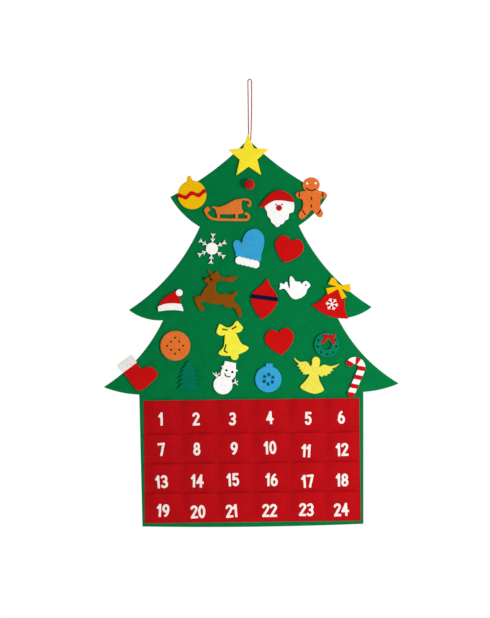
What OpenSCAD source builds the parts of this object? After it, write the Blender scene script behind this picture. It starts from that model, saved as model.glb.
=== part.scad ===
// Felt tree calendar: a hanging tree of thick felt, four sewn pocket strips with the numerals 1 to 24,
// and twenty-four felt ornaments that pull off round hook pads.
// Millimetres, +Z up, the front faces -Y. The origin is where the cord loop hangs, on the wall plane.

/* [Felt] */
// Thickness of the tree's backing felt
backing_t = 3; // [2:0.5:6]
// Thickness of the pocket strips' felt
pocket_t = 1.5; // [1:0.1:3]
// Thickness of an ornament's main felt
ornament_t = 3; // [2:0.5:6]
// Thickness of the thin felt of trims
trim_t = 1.5; // [0.8:0.1:3]
// Thickness of the numerals
numeral_t = 1.2; // [0.8:0.1:3]
// Radius that softens the cut corners
corner_r = 1.5; // [0.5:0.1:3]

/* [Tree] */
// Width over the top tier's tips
tier1_w = 394; // [380:1:460]
// Height from the top of the tree to the top tier's tips
tier1_h = 142; // [136:1:180]
// Height from the top tier's tips to its notches
tier1_lip = 76; // [70:1:110]
// Width between the top tier's notches
notch1_w = 248; // [200:1:300]
// Width over the middle tier's tips
tier2_w = 608; // [590:1:700]
// Height from the top notches to the middle tier's tips
tier2_h = 206; // [200:1:260]
// Height from the middle tier's tips to its notches
tier2_lip = 27; // [20:1:60]
// Width between the middle tier's notches
notch2_w = 438; // [420:1:520]
// Width over the bottom tier's tips
tier3_w = 739; // [720:1:840]
// Height from the middle notches to the bottom tier's tips
tier3_h = 165; // [160:1:220]
// Height from the bottom tier's tips to the pocket panel's shoulders
tier3_lip = 20; // [10:1:50]
// How far the top tier's slopes curve inwards
slope_sag1 = 11; // [0:1:16]
// How far the middle tier's slopes curve inwards
slope_sag2 = 20; // [0:1:28]
// How far the bottom tier's slopes curve inwards
slope_sag3 = 16; // [0:1:24]
// How far the top tier's lower edges curve outwards
lip_sag1 = 7; // [0:1:14]
// How far the middle tier's lower edges curve outwards
lip_sag2 = 8; // [0:1:14]
// How far the bottom tier's lower edges curve outwards
lip_sag3 = 4; // [0:1:10]
// How far the bottom edge sags between its corners
foot_sag = 4; // [0:1:6]
// How much each side draws in towards the bottom corner
foot_taper = 4; // [0:1:6]

/* [Pockets] */
// Width of one pocket between its seams
pocket_w = 90; // [70:1:120]
// Height of a top row's pocket from its mouth to the next mouth
first_row_h = 85; // [70:1:110]
// Height of a lower row's pocket from its mouth to the next mouth
pocket_h = 74; // [60:1:110]
// Width of a pocket's middle, which stands flat
pocket_flat_w = 36; // [34:1:50]
// How far a mouth stands open
mouth_depth = 5; // [4.5:0.5:14]
// Height of the flat hem along a strip's foot
hem_h = 4; // [3:0.5:8]
// Height over which a strip settles from the hem above it onto the backing
lap_fade = 12; // [6:1:20]
// Felt left showing beside the panel
side_margin = 10.5; // [6:0.5:20]
// Felt left showing above the panel
top_margin = 15; // [10:1:40]
// Felt left showing below the panel
foot_margin = 8; // [5:1:30]
// Width of the seam thread
thread_w = 0.8; // [0.5:0.1:1.5]

/* [Numerals] */
// Height of a digit
digit_h = 33; // [24:1:36]
// Width of a digit
digit_w = 18; // [15:1:21]
// Width of a digit's stroke
digit_stroke = 6; // [4:0.5:8]
// Distance between the middles of a number's two digits
digit_pitch = 19; // [14:1:22]
// Distance from a pocket's mouth down to the middle of its numeral
numeral_drop = 44; // [35:1:52]

/* [Cord and pads] */
// Diameter of the hanging cord
cord_d = 2.2; // [1.5:0.1:3]
// Distance between the middles of the cord's two strands at the hook
cord_gap = 9; // [8:0.5:12]
// Distance between the middles of the cord's two strands where they are sewn down
cord_foot_gap = 3.5; // [3.2:0.1:8]
// Length of the cord's ends that lie on the tree
cord_tail = 24; // [20:1:30]
// Room between the cord and the star in front of it
cord_clear = 0.4; // [0.3:0.1:1]
// How far the cord is sewn to the right of the tree's middle line
hang_offset = 5.5; // [0:0.5:8]
// Height of the hanging point above the top of the tree
cord_rise = 148; // [140:1:160]
// Width of the bar tack that holds the cord's ends
tack_w = 16; // [12:1:22]
// Height of the bar tack
tack_h = 8; // [5:1:10]
// Diameter of a hook pad
pad_d = 16; // [10:1:18]

/* [Simple ornaments] */
// Radius to the star's points
star_r = 55; // [45:1:65]
// Radius to the star's inner corners
star_waist_r = 24; // [18:1:30]
// Diameter of the pom-pom
pompom_d = 25; // [18:1:34]
// Diameter of the round yellow bauble
bauble_d = 72; // [60:1:78]
// Height of its neck above the disc
bauble_neck_h = 12; // [8:1:16]
// Width of its wavy band
bauble_band_w = 10; // [6:1:14]
// Radius to the snowflake's tips
snowflake_r = 38; // [32:1:44]
// Radius of the snowflake's middle disc
snowflake_hub_r = 15; // [9:1:18]
// Width of the hearts
heart_w = 72; // [56:1:80]
// Height of the hearts
heart_h = 66; // [50:1:72]
// Width of the drop-shaped bauble
drop_w = 67; // [54:1:74]
// Height of the drop-shaped bauble
drop_h = 103; // [90:1:112]
// Width of its dark band
drop_band_w = 10.5; // [6:0.5:16]
// Diameter of the cookie
cookie_d = 74.5; // [60:0.5:80]
// Diameter of the wreath
wreath_d = 63; // [58:1:74]
// Diameter of the wreath's hole
wreath_hole_d = 24; // [14:1:25]
// Diameter of the blue bauble
blue_d = 65.5; // [54:0.5:72]
// Width of the small fir
fir_w = 60; // [48:1:68]
// Height of the small fir
fir_h = 75; // [66:1:84]
// Width of the candy cane's band of felt
cane_w = 18; // [16:1:20]
// Length of the candy cane's straight shaft
cane_shaft = 64; // [60:1:72]
// Radius of the candy cane's hook at its middle line
cane_hook_r = 17; // [13:1:18]

/* [Figure ornaments] */
// Width of the sleigh
sleigh_w = 118; // [96:1:124]
// Height of the bearded head
santa_h = 91; // [74:1:96]
// Height of the gingerbread figure
gingerbread_h = 104; // [88:1:110]
// Height of the mitten
mitten_h = 96; // [78:1:104]
// Width of the reindeer
reindeer_w = 119; // [98:1:124]
// Width of the red hat
hat_w = 65; // [54:1:70]
// Width of the dove
dove_w = 78; // [64:1:84]
// Width of the red bell
red_bell_w = 98; // [82:1:103]
// Width of the yellow bell
yellow_bell_w = 75; // [62:1:78]
// Height of the stocking
stocking_h = 88; // [72:1:94]
// Height of the snowman
snowman_h = 84; // [70:1:88]
// Width of the angel over its wings
angel_w = 114; // [94:1:118]

/* [Hidden] */
$fn = 48;

// Fits
glue_gap = 0.1;
lap_gap = 0.2;
pad_t = cord_d + cord_clear;
lap_d = pocket_t + lap_gap;
pompom_flat = 1.5;
thread_t = 0.4;
seam_land = 2 * thread_w;
fine_r = 1;

// Depths in front of the wall plane
base_d = backing_t + pad_t;
trim_d = base_d + ornament_t;
strip_d = backing_t + pocket_t;

// Heights below the top of the tree
pocket_rows = 4;
pocket_cols = 6;
apex_z = -cord_rise;
tip1_z = -tier1_h;
notch1_z = tip1_z - tier1_lip;
tip2_z = notch1_z - tier2_h;
notch2_z = tip2_z - tier2_lip;
tip3_z = notch2_z - tier3_h;
shoulder_z = tip3_z - tier3_lip;
panel_z = shoulder_z - top_margin;
panel_h = first_row_h + (pocket_rows - 1) * pocket_h;
foot_z = panel_z - panel_h - foot_margin;
panel_w = pocket_cols * pocket_w;
panel_left = -panel_w / 2 - hang_offset;
shoulder_w = panel_w + 2 * side_margin;
foot_w = shoulder_w - 2 * foot_taper;

// A place on a tier: across in shares of its half width, and up from its tips in shares of its height
function on_tier1(across, up) = [across * tier1_w / 2, tip1_z + up * tier1_h];
function on_tier2(across, up) = [across * tier2_w / 2, tip2_z + up * tier2_h];
function on_tier3(across, up) = [across * tier3_w / 2, tip3_z + up * tier3_h];

// Places of the ornaments, across from the middle line and up from the top of the tree
star_spot = on_tier1(0, 0.69);
pompom_spot = on_tier1(0.01, 0.19);
bauble_spot = on_tier1(-0.721, 0.028);
sleigh_spot = on_tier1(-0.269, -0.239);
santa_spot = on_tier1(0.365, -0.225);
gingerbread_spot = on_tier1(0.794, -0.028);
snowflake_spot = on_tier2(-0.309, 0.733);
mitten_spot = on_tier2(0.003, 0.723);
upper_heart_spot = on_tier2(0.322, 0.726);
reindeer_spot = on_tier2(-0.273, 0.18);
hat_spot = on_tier2(-0.661, 0.092);
drop_spot = on_tier2(0.118, 0.117);
dove_spot = on_tier2(0.368, 0.238);
red_bell_spot = on_tier2(0.668, 0.078);
cookie_spot = on_tier3(-0.51, 0.615);
yellow_bell_spot = on_tier3(-0.127, 0.661);
lower_heart_spot = on_tier3(0.196, 0.682);
wreath_spot = on_tier3(0.514, 0.6);
stocking_spot = on_tier3(-0.767, 0.206);
fir_spot = on_tier3(-0.421, 0.161);
snowman_spot = on_tier3(-0.168, 0.115);
blue_spot = on_tier3(0.116, 0.091);
angel_spot = on_tier3(0.433, 0.139);
cane_spot = on_tier3(0.698, 0.103);

// Turns of the ornaments in degrees, as they are stuck on
bauble_turn = 9;
snowflake_turn = -5;
mitten_turn = -14;
upper_heart_turn = -17;
lower_heart_turn = 7;
drop_turn = -8;
red_bell_turn = -21;
yellow_bell_turn = 10;
stocking_turn = 36;
blue_turn = -5;
cane_turn = -24;

// Pad places: under each ornament's broad part
wreath_pad = [0, -(wreath_d + wreath_hole_d) / 4];
cane_pad = cane_hook_r / 2 * [cos(cane_turn), sin(cane_turn)];
sleigh_pad = sleigh_w * [0.068, 0.017];
reindeer_pad = reindeer_w * [0, -0.1];
yellow_bell_pad = yellow_bell_w * [-0.053, 0];
snowman_pad = snowman_h * [-0.048, -0.071];
angel_pad = angel_w * [-0.035, -0.123];
pads = [
    star_spot, pompom_spot, bauble_spot, sleigh_spot + sleigh_pad, santa_spot, gingerbread_spot,
    snowflake_spot, mitten_spot, upper_heart_spot, reindeer_spot + reindeer_pad, hat_spot, drop_spot,
    dove_spot, red_bell_spot, cookie_spot, yellow_bell_spot + yellow_bell_pad, lower_heart_spot,
    wreath_spot + wreath_pad, stocking_spot, fir_spot, snowman_spot + snowman_pad, blue_spot,
    angel_spot + angel_pad, cane_spot + cane_pad
];

// Numerals: how far each is set off its pocket's middle (across, up), and its turn in degrees
numeral_sets = [
    [[-1, -2, 0], [-4, -3, 2], [-3, -4, -3], [0, -2, 3], [6, -5, -2], [-1, -3, 2]],
    [[-1, 7, 4], [-3, 7, 0], [0, 7, -3], [-1, 8, 2], [1, -1, -4], [-1, 1, 2]],
    [[-3, 0, 3], [-4, 1, -2], [-5, 3, 2], [2, 2, -2], [2, -3, 3], [-2, -1, 0]],
    [[0, 2, -3], [-2, -2, 2], [-6, -1, 4], [-3, -1, 0], [-1, 0, -2], [-4, -1, 2]]
];

// Cord route, across and up from the hanging point: up one strand, over the hook and down the other
cord_rises = 12;
cord_arcs = 12;
cord_sides = 8;
cord_bend_r = cord_gap / 2;
cord_draw = cord_gap - cord_foot_gap;
cord_ease = 2.5;
cord_bend_z = cord_d / 2 - cord_bend_r;
cord_end_z = apex_z - cord_tail;
cord_zs = [for (i = [0:cord_rises - 1]) cord_end_z + (cord_bend_z - cord_end_z) * i / cord_rises];
cord_route = concat(
    [for (z = cord_zs) [-cord_bend_r, z]],
    oval([0, cord_bend_z], cord_bend_r, cord_bend_r, 180, 0, cord_arcs),
    [for (i = [cord_rises - 1:-1:0])
        [cord_bend_r - cord_draw * pow(1 - i / cord_rises, cord_ease), cord_zs[i]]]
);

// Widths and heights at which the freehand outlines are drawn
sleigh_drawn = 118;
santa_drawn = 91;
gingerbread_drawn = 104;
mitten_drawn = 96;
reindeer_drawn = 119;
hat_drawn = 65;
dove_drawn = 78;
red_bell_drawn = 98;
yellow_bell_drawn = 75;
stocking_drawn = 88;
snowman_drawn = 84;
angel_drawn = 114;
heart_drawn = [72, 66];
drop_drawn = [67, 103];

// Points from p towards q, without q, bowed to the left by sag
function bow(p, q, sag, n = 10) = let (d = q - p, side = [-d[1], d[0]] / norm(d))
    [for (i = [0:n - 1]) let (t = i / n) p + t * d + 4 * sag * t * (1 - t) * side];

// Points on an oval's arc about c, with half width a and half height b
function oval(c, a, b, from, to, n = 12) =
    [for (i = [0:n]) let (t = from + (to - from) * i / n) c + [a * cos(t), b * sin(t)]];

// A point of the smooth curve from p1 to p2, with p0 before them and p3 after them
function between(p0, p1, p2, p3, t) = 0.5 * (2 * p1 + (p2 - p0) * t
    + (2 * p0 - 5 * p1 + 4 * p2 - p3) * t * t + (3 * p1 - p0 - 3 * p2 + p3) * t * t * t);

// Closed smooth outline through the points, with n steps between neighbours
function smooth(pts, n = 4) = let (c = len(pts)) [for (i = [0:c - 1], s = [0:n - 1])
    between(pts[(i + c - 1) % c], pts[i], pts[(i + 1) % c], pts[(i + 2) % c], s / n)];

// Open smooth line through the points
function smooth_line(pts, n = 4) = let (c = len(pts)) concat([for (i = [0:c - 2], s = [0:n - 1])
    between(pts[max(i - 1, 0)], pts[i], pts[i + 1], pts[min(i + 2, c - 1)], s / n)], [pts[c - 1]]);

// The points, and their mirror images across the upright middle line in reverse
function both_sides(pts) = concat(pts,
    [for (i = [len(pts) - 1:-1:0]) if (abs(pts[i][0]) > 0.001) [-pts[i][0], pts[i][1]]]);

// Points stretched from their drawn width and height to the wanted ones
function stretched(pts, drawn, wanted) =
    [for (p = pts) [p[0] * wanted[0] / drawn[0], p[1] * wanted[1] / drawn[1]]];

// A straight line of the pen's width, before it is broadened to a band
pen_w = 1;

module line(p, q) {
    bar(p, q, pen_w);
}

// A straight band of width w with square ends
module bar(p, q, w) {
    d = q - p;
    translate(p) rotate(atan2(d[1], d[0])) translate([-w / 2, -w / 2])
        square([norm(d) + w, w]);
}

// A band of width w along the points, with round ends
module band(pts, w) {
    offset(r = (w - pen_w) / 2, $fn = 20)
        for (i = [0:len(pts) - 2]) line(pts[i], pts[i + 1]);
}

// Softens the outer corners of a cut
module softened(r = corner_r) {
    offset(r = r, $fn = 20) offset(delta = -r) children();
}

// A sheet of felt of thickness t whose back lies at the depth d
module felt(d, t) {
    translate([0, 0, d]) linear_extrude(t) children();
}

// Stands a flat drawing upright at a spot of the tree, with its depth towards the front
module at(spot, turn = 0) {
    translate([spot[0] - hang_offset, 0, apex_z + spot[1]])
        rotate([90, 0, 0]) rotate(turn) children();
}

// Six-armed asterisk
module asterisk(r, w) {
    for (i = [0:5]) rotate(60 * i) band([[0, 0], [0, r - w / 2]], w);
}

// The backing: one sheet cut as a three-tiered tree on a broad foot
module tree_outline() {
    foot = [for (i = [0:6]) let (x = foot_w / 2 * (1 - i / 6))
        [x, foot_z - foot_sag * (1 - pow(2 * x / foot_w, 2))]];
    side = concat(
        bow([0, 0], [tier1_w / 2, tip1_z], -slope_sag1),
        bow([tier1_w / 2, tip1_z], [notch1_w / 2, notch1_z], lip_sag1),
        bow([notch1_w / 2, notch1_z], [tier2_w / 2, tip2_z], -slope_sag2),
        bow([tier2_w / 2, tip2_z], [notch2_w / 2, notch2_z], lip_sag2),
        bow([notch2_w / 2, notch2_z], [tier3_w / 2, tip3_z], -slope_sag3),
        bow([tier3_w / 2, tip3_z], [shoulder_w / 2, shoulder_z], lip_sag3),
        [[shoulder_w / 2, shoulder_z]],
        foot
    );
    polygon(both_sides(side));
}

module backing_sheet() {
    color("seagreen") at([0, 0]) felt(0, backing_t) softened() tree_outline();
}

// Pocket strips: each is one sheet that swells forward between its seams and lies flat along its hem.
// k counts the rows from the top, u runs across one pocket from 0 to 1, s runs down from the mouth.
function row_h(k) = k == 0 ? first_row_h : pocket_h;
function fall(k) = k < pocket_rows - 1 ? row_h(k) : row_h(k) - hem_h;
function ramp(t) = t * t * (3 - 2 * t);
function swell(u) = ramp(max(0, min(1, (min(u, 1 - u) - land_share) / ramp_share)));
function lap(k, s) = k == 0 ? 0 : lap_d * max(0, min(1, 1 - (s - hem_h) / lap_fade));
function strip_depth(k, u, s) = backing_t + lap(k, s) + mouth_depth * max(0, 1 - s / fall(k)) * swell(u);
function row_z(k) = apex_z + panel_z - (k == 0 ? 0 : first_row_h + (k - 1) * pocket_h);

// Columns across one pocket: the sewn land at the seam, four steps up the ramp, then the flat middle
ramp_steps = 4;
land_share = seam_land / pocket_w;
ramp_share = (1 - pocket_flat_w / pocket_w) / 2 - land_share;
rise_us = [for (i = [0:ramp_steps]) land_share + ramp_share * i / ramp_steps];
pocket_us = concat([0], rise_us, [for (i = [ramp_steps:-1:0]) 1 - rise_us[i]]);
strip_us = concat([for (c = [0:pocket_cols - 1], u = pocket_us) c + u], [pocket_cols]);

module pocket_strip(k) {
    us = strip_us;
    ss = [0, hem_h, hem_h + lap_fade, fall(k) / 2, fall(k), fall(k) + hem_h];
    n = len(us);
    m = len(ss);
    sheet = function (extra) [for (s = ss, u = us) let (across = u - min(floor(u), pocket_cols - 1))
        [panel_left + u * pocket_w, -strip_depth(k, across, s) - extra, row_z(k) - s]];
    points = concat(sheet(pocket_t), sheet(0));
    back = n * m;
    rim = concat(
        [for (i = [0:n - 1]) i],
        [for (j = [1:m - 1]) j * n + n - 1],
        [for (i = [n - 2:-1:0]) (m - 1) * n + i],
        [for (j = [m - 2:-1:1]) j * n]
    );
    front_faces = [for (j = [0:m - 2], i = [0:n - 2], half = [0, 1]) let (a = j * n + i)
        half == 0 ? [a, a + 1, a + n] : [a + 1, a + n + 1, a + n]];
    back_faces = [for (f = front_faces) [f[2] + back, f[1] + back, f[0] + back]];
    rim_faces = [for (i = [0:len(rim) - 1], half = [0, 1]) let (p = rim[i], q = rim[(i + 1) % len(rim)])
        half == 0 ? [q, p, p + back] : [q, p + back, q + back]];
    polyhedron(points, concat(front_faces, back_faces, rim_faces), convexity = 8);
}

module pocket_row_1() {
    color("firebrick") pocket_strip(0);
}

module pocket_row_2() {
    color("firebrick") pocket_strip(1);
}

module pocket_row_3() {
    color("firebrick") pocket_strip(2);
}

module pocket_row_4() {
    color("firebrick") pocket_strip(3);
}

// Seam thread: an upright line of stitches on each seam of each strip, below the strip's lap
module seam_thread() {
    color("darkred")
        for (k = [0:pocket_rows - 1], c = [0:pocket_cols]) {
            inset = c == 0 ? thread_w : c == pocket_cols ? -thread_w : 0;
            x = panel_left + c * pocket_w + inset;
            length = fall(k) - hem_h - lap_fade;
            translate([x - thread_w / 2, -strip_d - thread_t, row_z(k) - fall(k)])
                cube([thread_w, thread_t, length]);
        }
}

// Numerals: digits drawn with a broad pen on the pockets' flat middles, with square ends.
// A one stands closer to its neighbour than the other digits do.
one_inset = 3.5;
pen_a = (digit_w - digit_stroke) / 2;
pen_b = (digit_h - digit_stroke) / 2;
function digit_lines(n) = let (a = pen_a, b = pen_b)
    n == 0 ? [oval([0, 0], a, b, 0, 360, 20)]
    : n == 1 ? [[[-0.7 * a, 0.5 * b], [0.15 * a, b], [0.15 * a, -b]]]
    : n == 2 ? [concat(oval([0, b - a], a, a, 165, -35, 10), [[-a, -b], [a, -b]])]
    : n == 3 ? [oval([-0.1 * a, b / 2], a, b / 2, 140, -90, 10),
        oval([-0.1 * a, -b / 2], 1.1 * a, b / 2, 90, -140, 10)]
    : n == 4 ? [[[0.45 * a, -b], [0.45 * a, b], [-a, -0.3 * b], [1.1 * a, -0.3 * b]]]
    : n == 5 ? [concat([[0.8 * a, b], [-0.7 * a, b], [-0.8 * a, 0.1 * b]],
        oval([0, -0.38 * b], a, 0.62 * b, 125, -145))]
    : n == 6 ? [oval([0, -0.42 * b], a, 0.58 * b, 0, 360, 18),
        oval([0.55 * a, -0.42 * b], 1.55 * a, 1.4 * b, 180, 105, 8)]
    : n == 7 ? [[[-a, b], [a, b], [-0.25 * a, -b]]]
    : n == 8 ? [oval([0, 0.5 * b], 0.85 * a, 0.5 * b, 0, 360, 16),
        oval([0, -0.47 * b], a, 0.53 * b, 0, 360, 18)]
    : [for (part = digit_lines(6)) [for (p = part) -p]];

// Straight strokes that end square
function digit_bars(n) = let (a = pen_a, b = pen_b)
    n == 1 ? [[[0.15 * a, b], [0.15 * a, -b]]]
    : n == 2 ? [[[-a, -b], [a, -b]]]
    : n == 4 ? [[[0.45 * a, b], [0.45 * a, -b]], [[-a, -0.3 * b], [1.1 * a, -0.3 * b]]]
    : n == 5 ? [[[0.8 * a, b], [-0.7 * a, b]]]
    : n == 7 ? [[[-a, b], [a, b]], [[a, b], [-0.25 * a, -b]]]
    : [];

module digit(n) {
    for (part = digit_lines(n)) band(part, digit_stroke);
    for (ends = digit_bars(n)) bar(ends[0], ends[1], digit_stroke);
}

module number(n) {
    tens = floor(n / 10);
    ones = n % 10;
    inset = (tens == 1 ? one_inset : 0) + (ones == 1 ? one_inset : 0);
    half = tens > 0 ? (digit_pitch - inset) / 2 : 0;
    softened(fine_r) {
        if (tens > 0) translate([-half, 0]) digit(tens);
        translate([half, 0]) digit(ones);
    }
}

module numeral_row(k) {
    lean = atan(mouth_depth / fall(k));
    for (c = [0:pocket_cols - 1]) {
        set = numeral_sets[k][c];
        s = numeral_drop - set[1];
        step = lap(k, s - digit_h / 2);
        depth = strip_d + glue_gap + step + mouth_depth * (1 - s / fall(k));
        translate([panel_left + (c + 0.5) * pocket_w + set[0], -depth, row_z(k) - s])
            rotate([90 + lean, 0, 0]) rotate(set[2])
                linear_extrude(numeral_t) number(k * pocket_cols + c + 1);
    }
}

module numerals_row_1() {
    color("white") numeral_row(0);
}

module numerals_row_2() {
    color("white") numeral_row(1);
}

module numerals_row_3() {
    color("white") numeral_row(2);
}

module numerals_row_4() {
    color("white") numeral_row(3);
}

// Hook pads: one round patch of hook tape for each ornament
module hook_pads() {
    color("darkgreen") for (p = pads) at(p) felt(backing_t, pad_t) circle(d = pad_d);
}

// Hanging cord: a round tube swept along its route, a flat loop in front of the wall
module hanging_cord() {
    n = len(cord_route);
    depth = backing_t + cord_d / 2 + glue_gap / 2;
    points = [for (i = [0:n - 1], j = [0:cord_sides - 1])
        let (t = cord_route[min(i + 1, n - 1)] - cord_route[max(i - 1, 0)], side = [-t[1], t[0]] / norm(t))
            let (a = 360 * j / cord_sides, p = cord_route[i] + cord_d / 2 * cos(a) * side)
                [p[0], -depth + cord_d / 2 * sin(a), p[1]]];
    walls = [for (i = [0:n - 2], j = [0:cord_sides - 1], half = [0, 1])
        let (a = i * cord_sides + j, b = i * cord_sides + (j + 1) % cord_sides)
            half == 0 ? [a, b, a + cord_sides] : [b, b + cord_sides, a + cord_sides]];
    start = [for (j = [1:cord_sides - 2]) [0, j + 1, j]];
    last = (n - 1) * cord_sides;
    end = [for (j = [1:cord_sides - 2]) [last, last + j, last + j + 1]];
    color("indianred") polyhedron(points, concat(walls, start, end), convexity = 4);
}

// Bar tack: the wrapped stitches that hold the cord's two ends to the tree, behind the star
module cord_bar_tack() {
    color("white") translate([-(tack_w + cord_draw) / 2, -backing_t - cord_d, cord_end_z - tack_h])
        cube([tack_w, cord_d, tack_h]);
}

// Star on the top of the tree, cut a little taller than wide
star_shape = [0.97, 1.06];
star_tip_r = 0.7;

module star_topper() {
    corners = [for (i = [0:9]) let (r = i % 2 == 0 ? star_r : star_waist_r, a = 90 + 36 * i)
        r * [star_shape[0] * cos(a), star_shape[1] * sin(a)]];
    color("gold") at(star_spot) felt(base_d, ornament_t) softened(star_tip_r) polygon(corners);
}

// Pom-pom: a ball with a flat spot where it sits on its pad
module red_pompom() {
    color("crimson") at(pompom_spot) translate([0, 0, base_d]) difference() {
        translate([0, 0, pompom_d / 2 - pompom_flat]) sphere(d = pompom_d);
        translate([-pompom_d, -pompom_d, -pompom_d]) cube([2 * pompom_d, 2 * pompom_d, pompom_d]);
    }
}

// Round bauble with a short neck and a wavy band
bauble_neck_w = 17;
bauble_tip_w = 8;
bauble_neck_sink = 3;
bauble_wave_h = 4;
bauble_wave_l = 33;

module yellow_bauble() {
    neck_z = bauble_d / 2;
    neck = [[bauble_neck_w / 2, neck_z - bauble_neck_sink], [bauble_tip_w / 2, neck_z + bauble_neck_h],
        [-bauble_tip_w / 2, neck_z + bauble_neck_h], [-bauble_neck_w / 2, neck_z - bauble_neck_sink]];
    color("orange") at(bauble_spot, bauble_turn) felt(base_d, ornament_t) {
        circle(d = bauble_d);
        polygon(neck);
    }
}

module yellow_bauble_band() {
    xs = [for (i = [-12:12]) bauble_d / 24 * i];
    wave = [for (x = xs) [x, bauble_wave_h * cos(360 * x / bauble_wave_l)]];
    upper = [for (p = wave) p + [0, bauble_band_w / 2]];
    lower = [for (i = [len(wave) - 1:-1:0]) wave[i] - [0, bauble_band_w / 2]];
    color("red") at(bauble_spot, bauble_turn) felt(trim_d, trim_t) intersection() {
        circle(d = bauble_d);
        polygon(concat(upper, lower));
    }
}

// Sleigh: a swept body on a curled runner
sleigh_body = [[-42, 7], [-34, 9], [-24, 6.5], [-5, 12.5], [13, 22], [26, 26], [35, 25], [34, 14], [35, 3],
    [39, -8], [26, -11.5], [4, -11.5], [-17, -11.5], [-28, -11], [-31, -1], [-36, 4]];
sleigh_runner = [[-56, 0], [-54.5, -7], [-47, -17.5], [-36, -23], [-20, -24.5], [10, -25.5], [36, -26],
    [47, -25.5], [51.5, -20.5], [50.5, -13.5], [44, -10.5]];
sleigh_scroll = [[26, 23], [37, 25], [47, 24.5], [54, 21], [56.5, 14], [54, 8.5], [50.5, 11]];
sleigh_curl = [-51.5, 1];
sleigh_curl_r = 6.5;
sleigh_struts = [-24, 21.5];
sleigh_strut_top = -10;
sleigh_strut_foot = -24;
sleigh_bar_w = 6.5;
sleigh_scroll_w = 5;

module sleigh() {
    color("chocolate") at(sleigh_spot) felt(base_d, ornament_t) scale(sleigh_w / sleigh_drawn) {
        softened(fine_r) polygon(smooth(sleigh_body));
        band(smooth_line(sleigh_runner), sleigh_bar_w);
        band(smooth_line(sleigh_scroll), sleigh_scroll_w);
        translate(sleigh_curl) circle(r = sleigh_curl_r, $fn = 32);
        for (x = sleigh_struts) band([[x, sleigh_strut_top], [x, sleigh_strut_foot]], sleigh_bar_w);
    }
}

// Bearded head: white felt face and beard, red cap, round nose and two eyes
santa_beard = [[-33, 2], [-28, -8], [-26, -19], [-20, -26], [-16.5, -35], [-9, -41.5], [-4, -47], [2, -46],
    [6, -41], [13, -38.5], [18, -31], [26, -26.5], [28.5, -14], [38, -10], [41, 1], [40, 13], [31, 30],
    [10, 39], [-6, 39.5], [-20, 28.5], [-30, 14]];
santa_cap_line = [[-45, 6], [-39, 13], [-32.5, 22], [-23, 32], [-13.5, 39], [-1, 43.5], [10, 43.5], [21, 40],
    [31, 33], [37, 25], [41, 15.5], [33, 15], [20, 17.5], [6, 19], [-8, 18.5], [-18.5, 14], [-27, 8.5],
    [-35, 3], [-41.5, 1.5]];
santa_nose_spot = [3, 0.5];
santa_nose_r = 7.5;
santa_eye_spots = [[-4, 9], [10.5, 9]];
santa_eye_r = 2;

module santa_drawing() {
    scale(santa_h / santa_drawn) children();
}

module santa_head() {
    color("snow") at(santa_spot) felt(base_d, ornament_t) santa_drawing() polygon(smooth(santa_beard));
}

module santa_cap() {
    color("red") at(santa_spot) felt(trim_d, trim_t) santa_drawing() polygon(smooth(santa_cap_line));
}

module santa_nose() {
    color("red") at(santa_spot) felt(trim_d, trim_t) santa_drawing()
        translate(santa_nose_spot) circle(r = santa_nose_r);
}

module santa_eyes() {
    color("black") at(santa_spot) felt(trim_d, trim_t) santa_drawing()
        for (p = santa_eye_spots) translate(p) circle(r = santa_eye_r, $fn = 20);
}

// Gingerbread figure with white eyes and dark stitched mouth, cuffs and buttons
gingerbread_body = [[18, 14], [33, 10.5], [38.5, 4], [33, -3], [24, -7], [21.5, -17], [23, -30], [28, -40],
    [27, -48], [21.5, -52.5], [14, -49.5], [7, -42], [0, -33.5], [-9.5, -44], [-17, -52], [-24, -56],
    [-30.5, -53.5], [-33, -46], [-30, -38], [-23, -28], [-21.5, -15], [-25, -6], [-35.5, -2.5], [-40, 4.5],
    [-36.5, 10], [-19, 14]];
gingerbread_face = [-0.5, 29];
gingerbread_face_size = [21.5, 19];
gingerbread_eye_spots = [[-11, 33], [10.5, 33]];
gingerbread_eye_r = 3;
gingerbread_mouth = [[-12.5, 20.5], [-6, 16.5], [0, 15], [5, 15.5], [10, 18]];
gingerbread_cuffs = [[[-30, 9.5], [-30.5, 0]], [[28.5, 9.5], [28, -0.5]], [[-23.5, -34], [-16.5, -45]],
    [[15.5, -44], [22, -34]]];
gingerbread_buttons = [[[0, -2], [0, -8]], [[-0.5, -21], [-0.5, -27]]];
gingerbread_line_w = 2.5;

module gingerbread_drawing() {
    scale(gingerbread_h / gingerbread_drawn) children();
}

module gingerbread_man() {
    face = gingerbread_face_size;
    color("chocolate") at(gingerbread_spot) felt(base_d, ornament_t) gingerbread_drawing() softened() {
        polygon(smooth(gingerbread_body));
        translate(gingerbread_face) polygon(oval([0, 0], face[0], face[1], 0, 350, 35));
    }
}

module gingerbread_eyes() {
    color("white") at(gingerbread_spot) felt(trim_d, trim_t) gingerbread_drawing()
        for (p = gingerbread_eye_spots) translate(p) circle(r = gingerbread_eye_r, $fn = 24);
}

module gingerbread_stitches() {
    color("saddlebrown") at(gingerbread_spot) felt(trim_d, trim_t) gingerbread_drawing() {
        band(smooth_line(gingerbread_mouth), gingerbread_line_w);
        for (p = concat(gingerbread_cuffs, gingerbread_buttons)) band(p, gingerbread_line_w);
    }
}

// Snowflake: a disc with six stems, each with a pair of twigs and a three-pronged tip
snowflake_stem_w = 2.3;
snowflake_twig = [4.5, 6];

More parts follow.
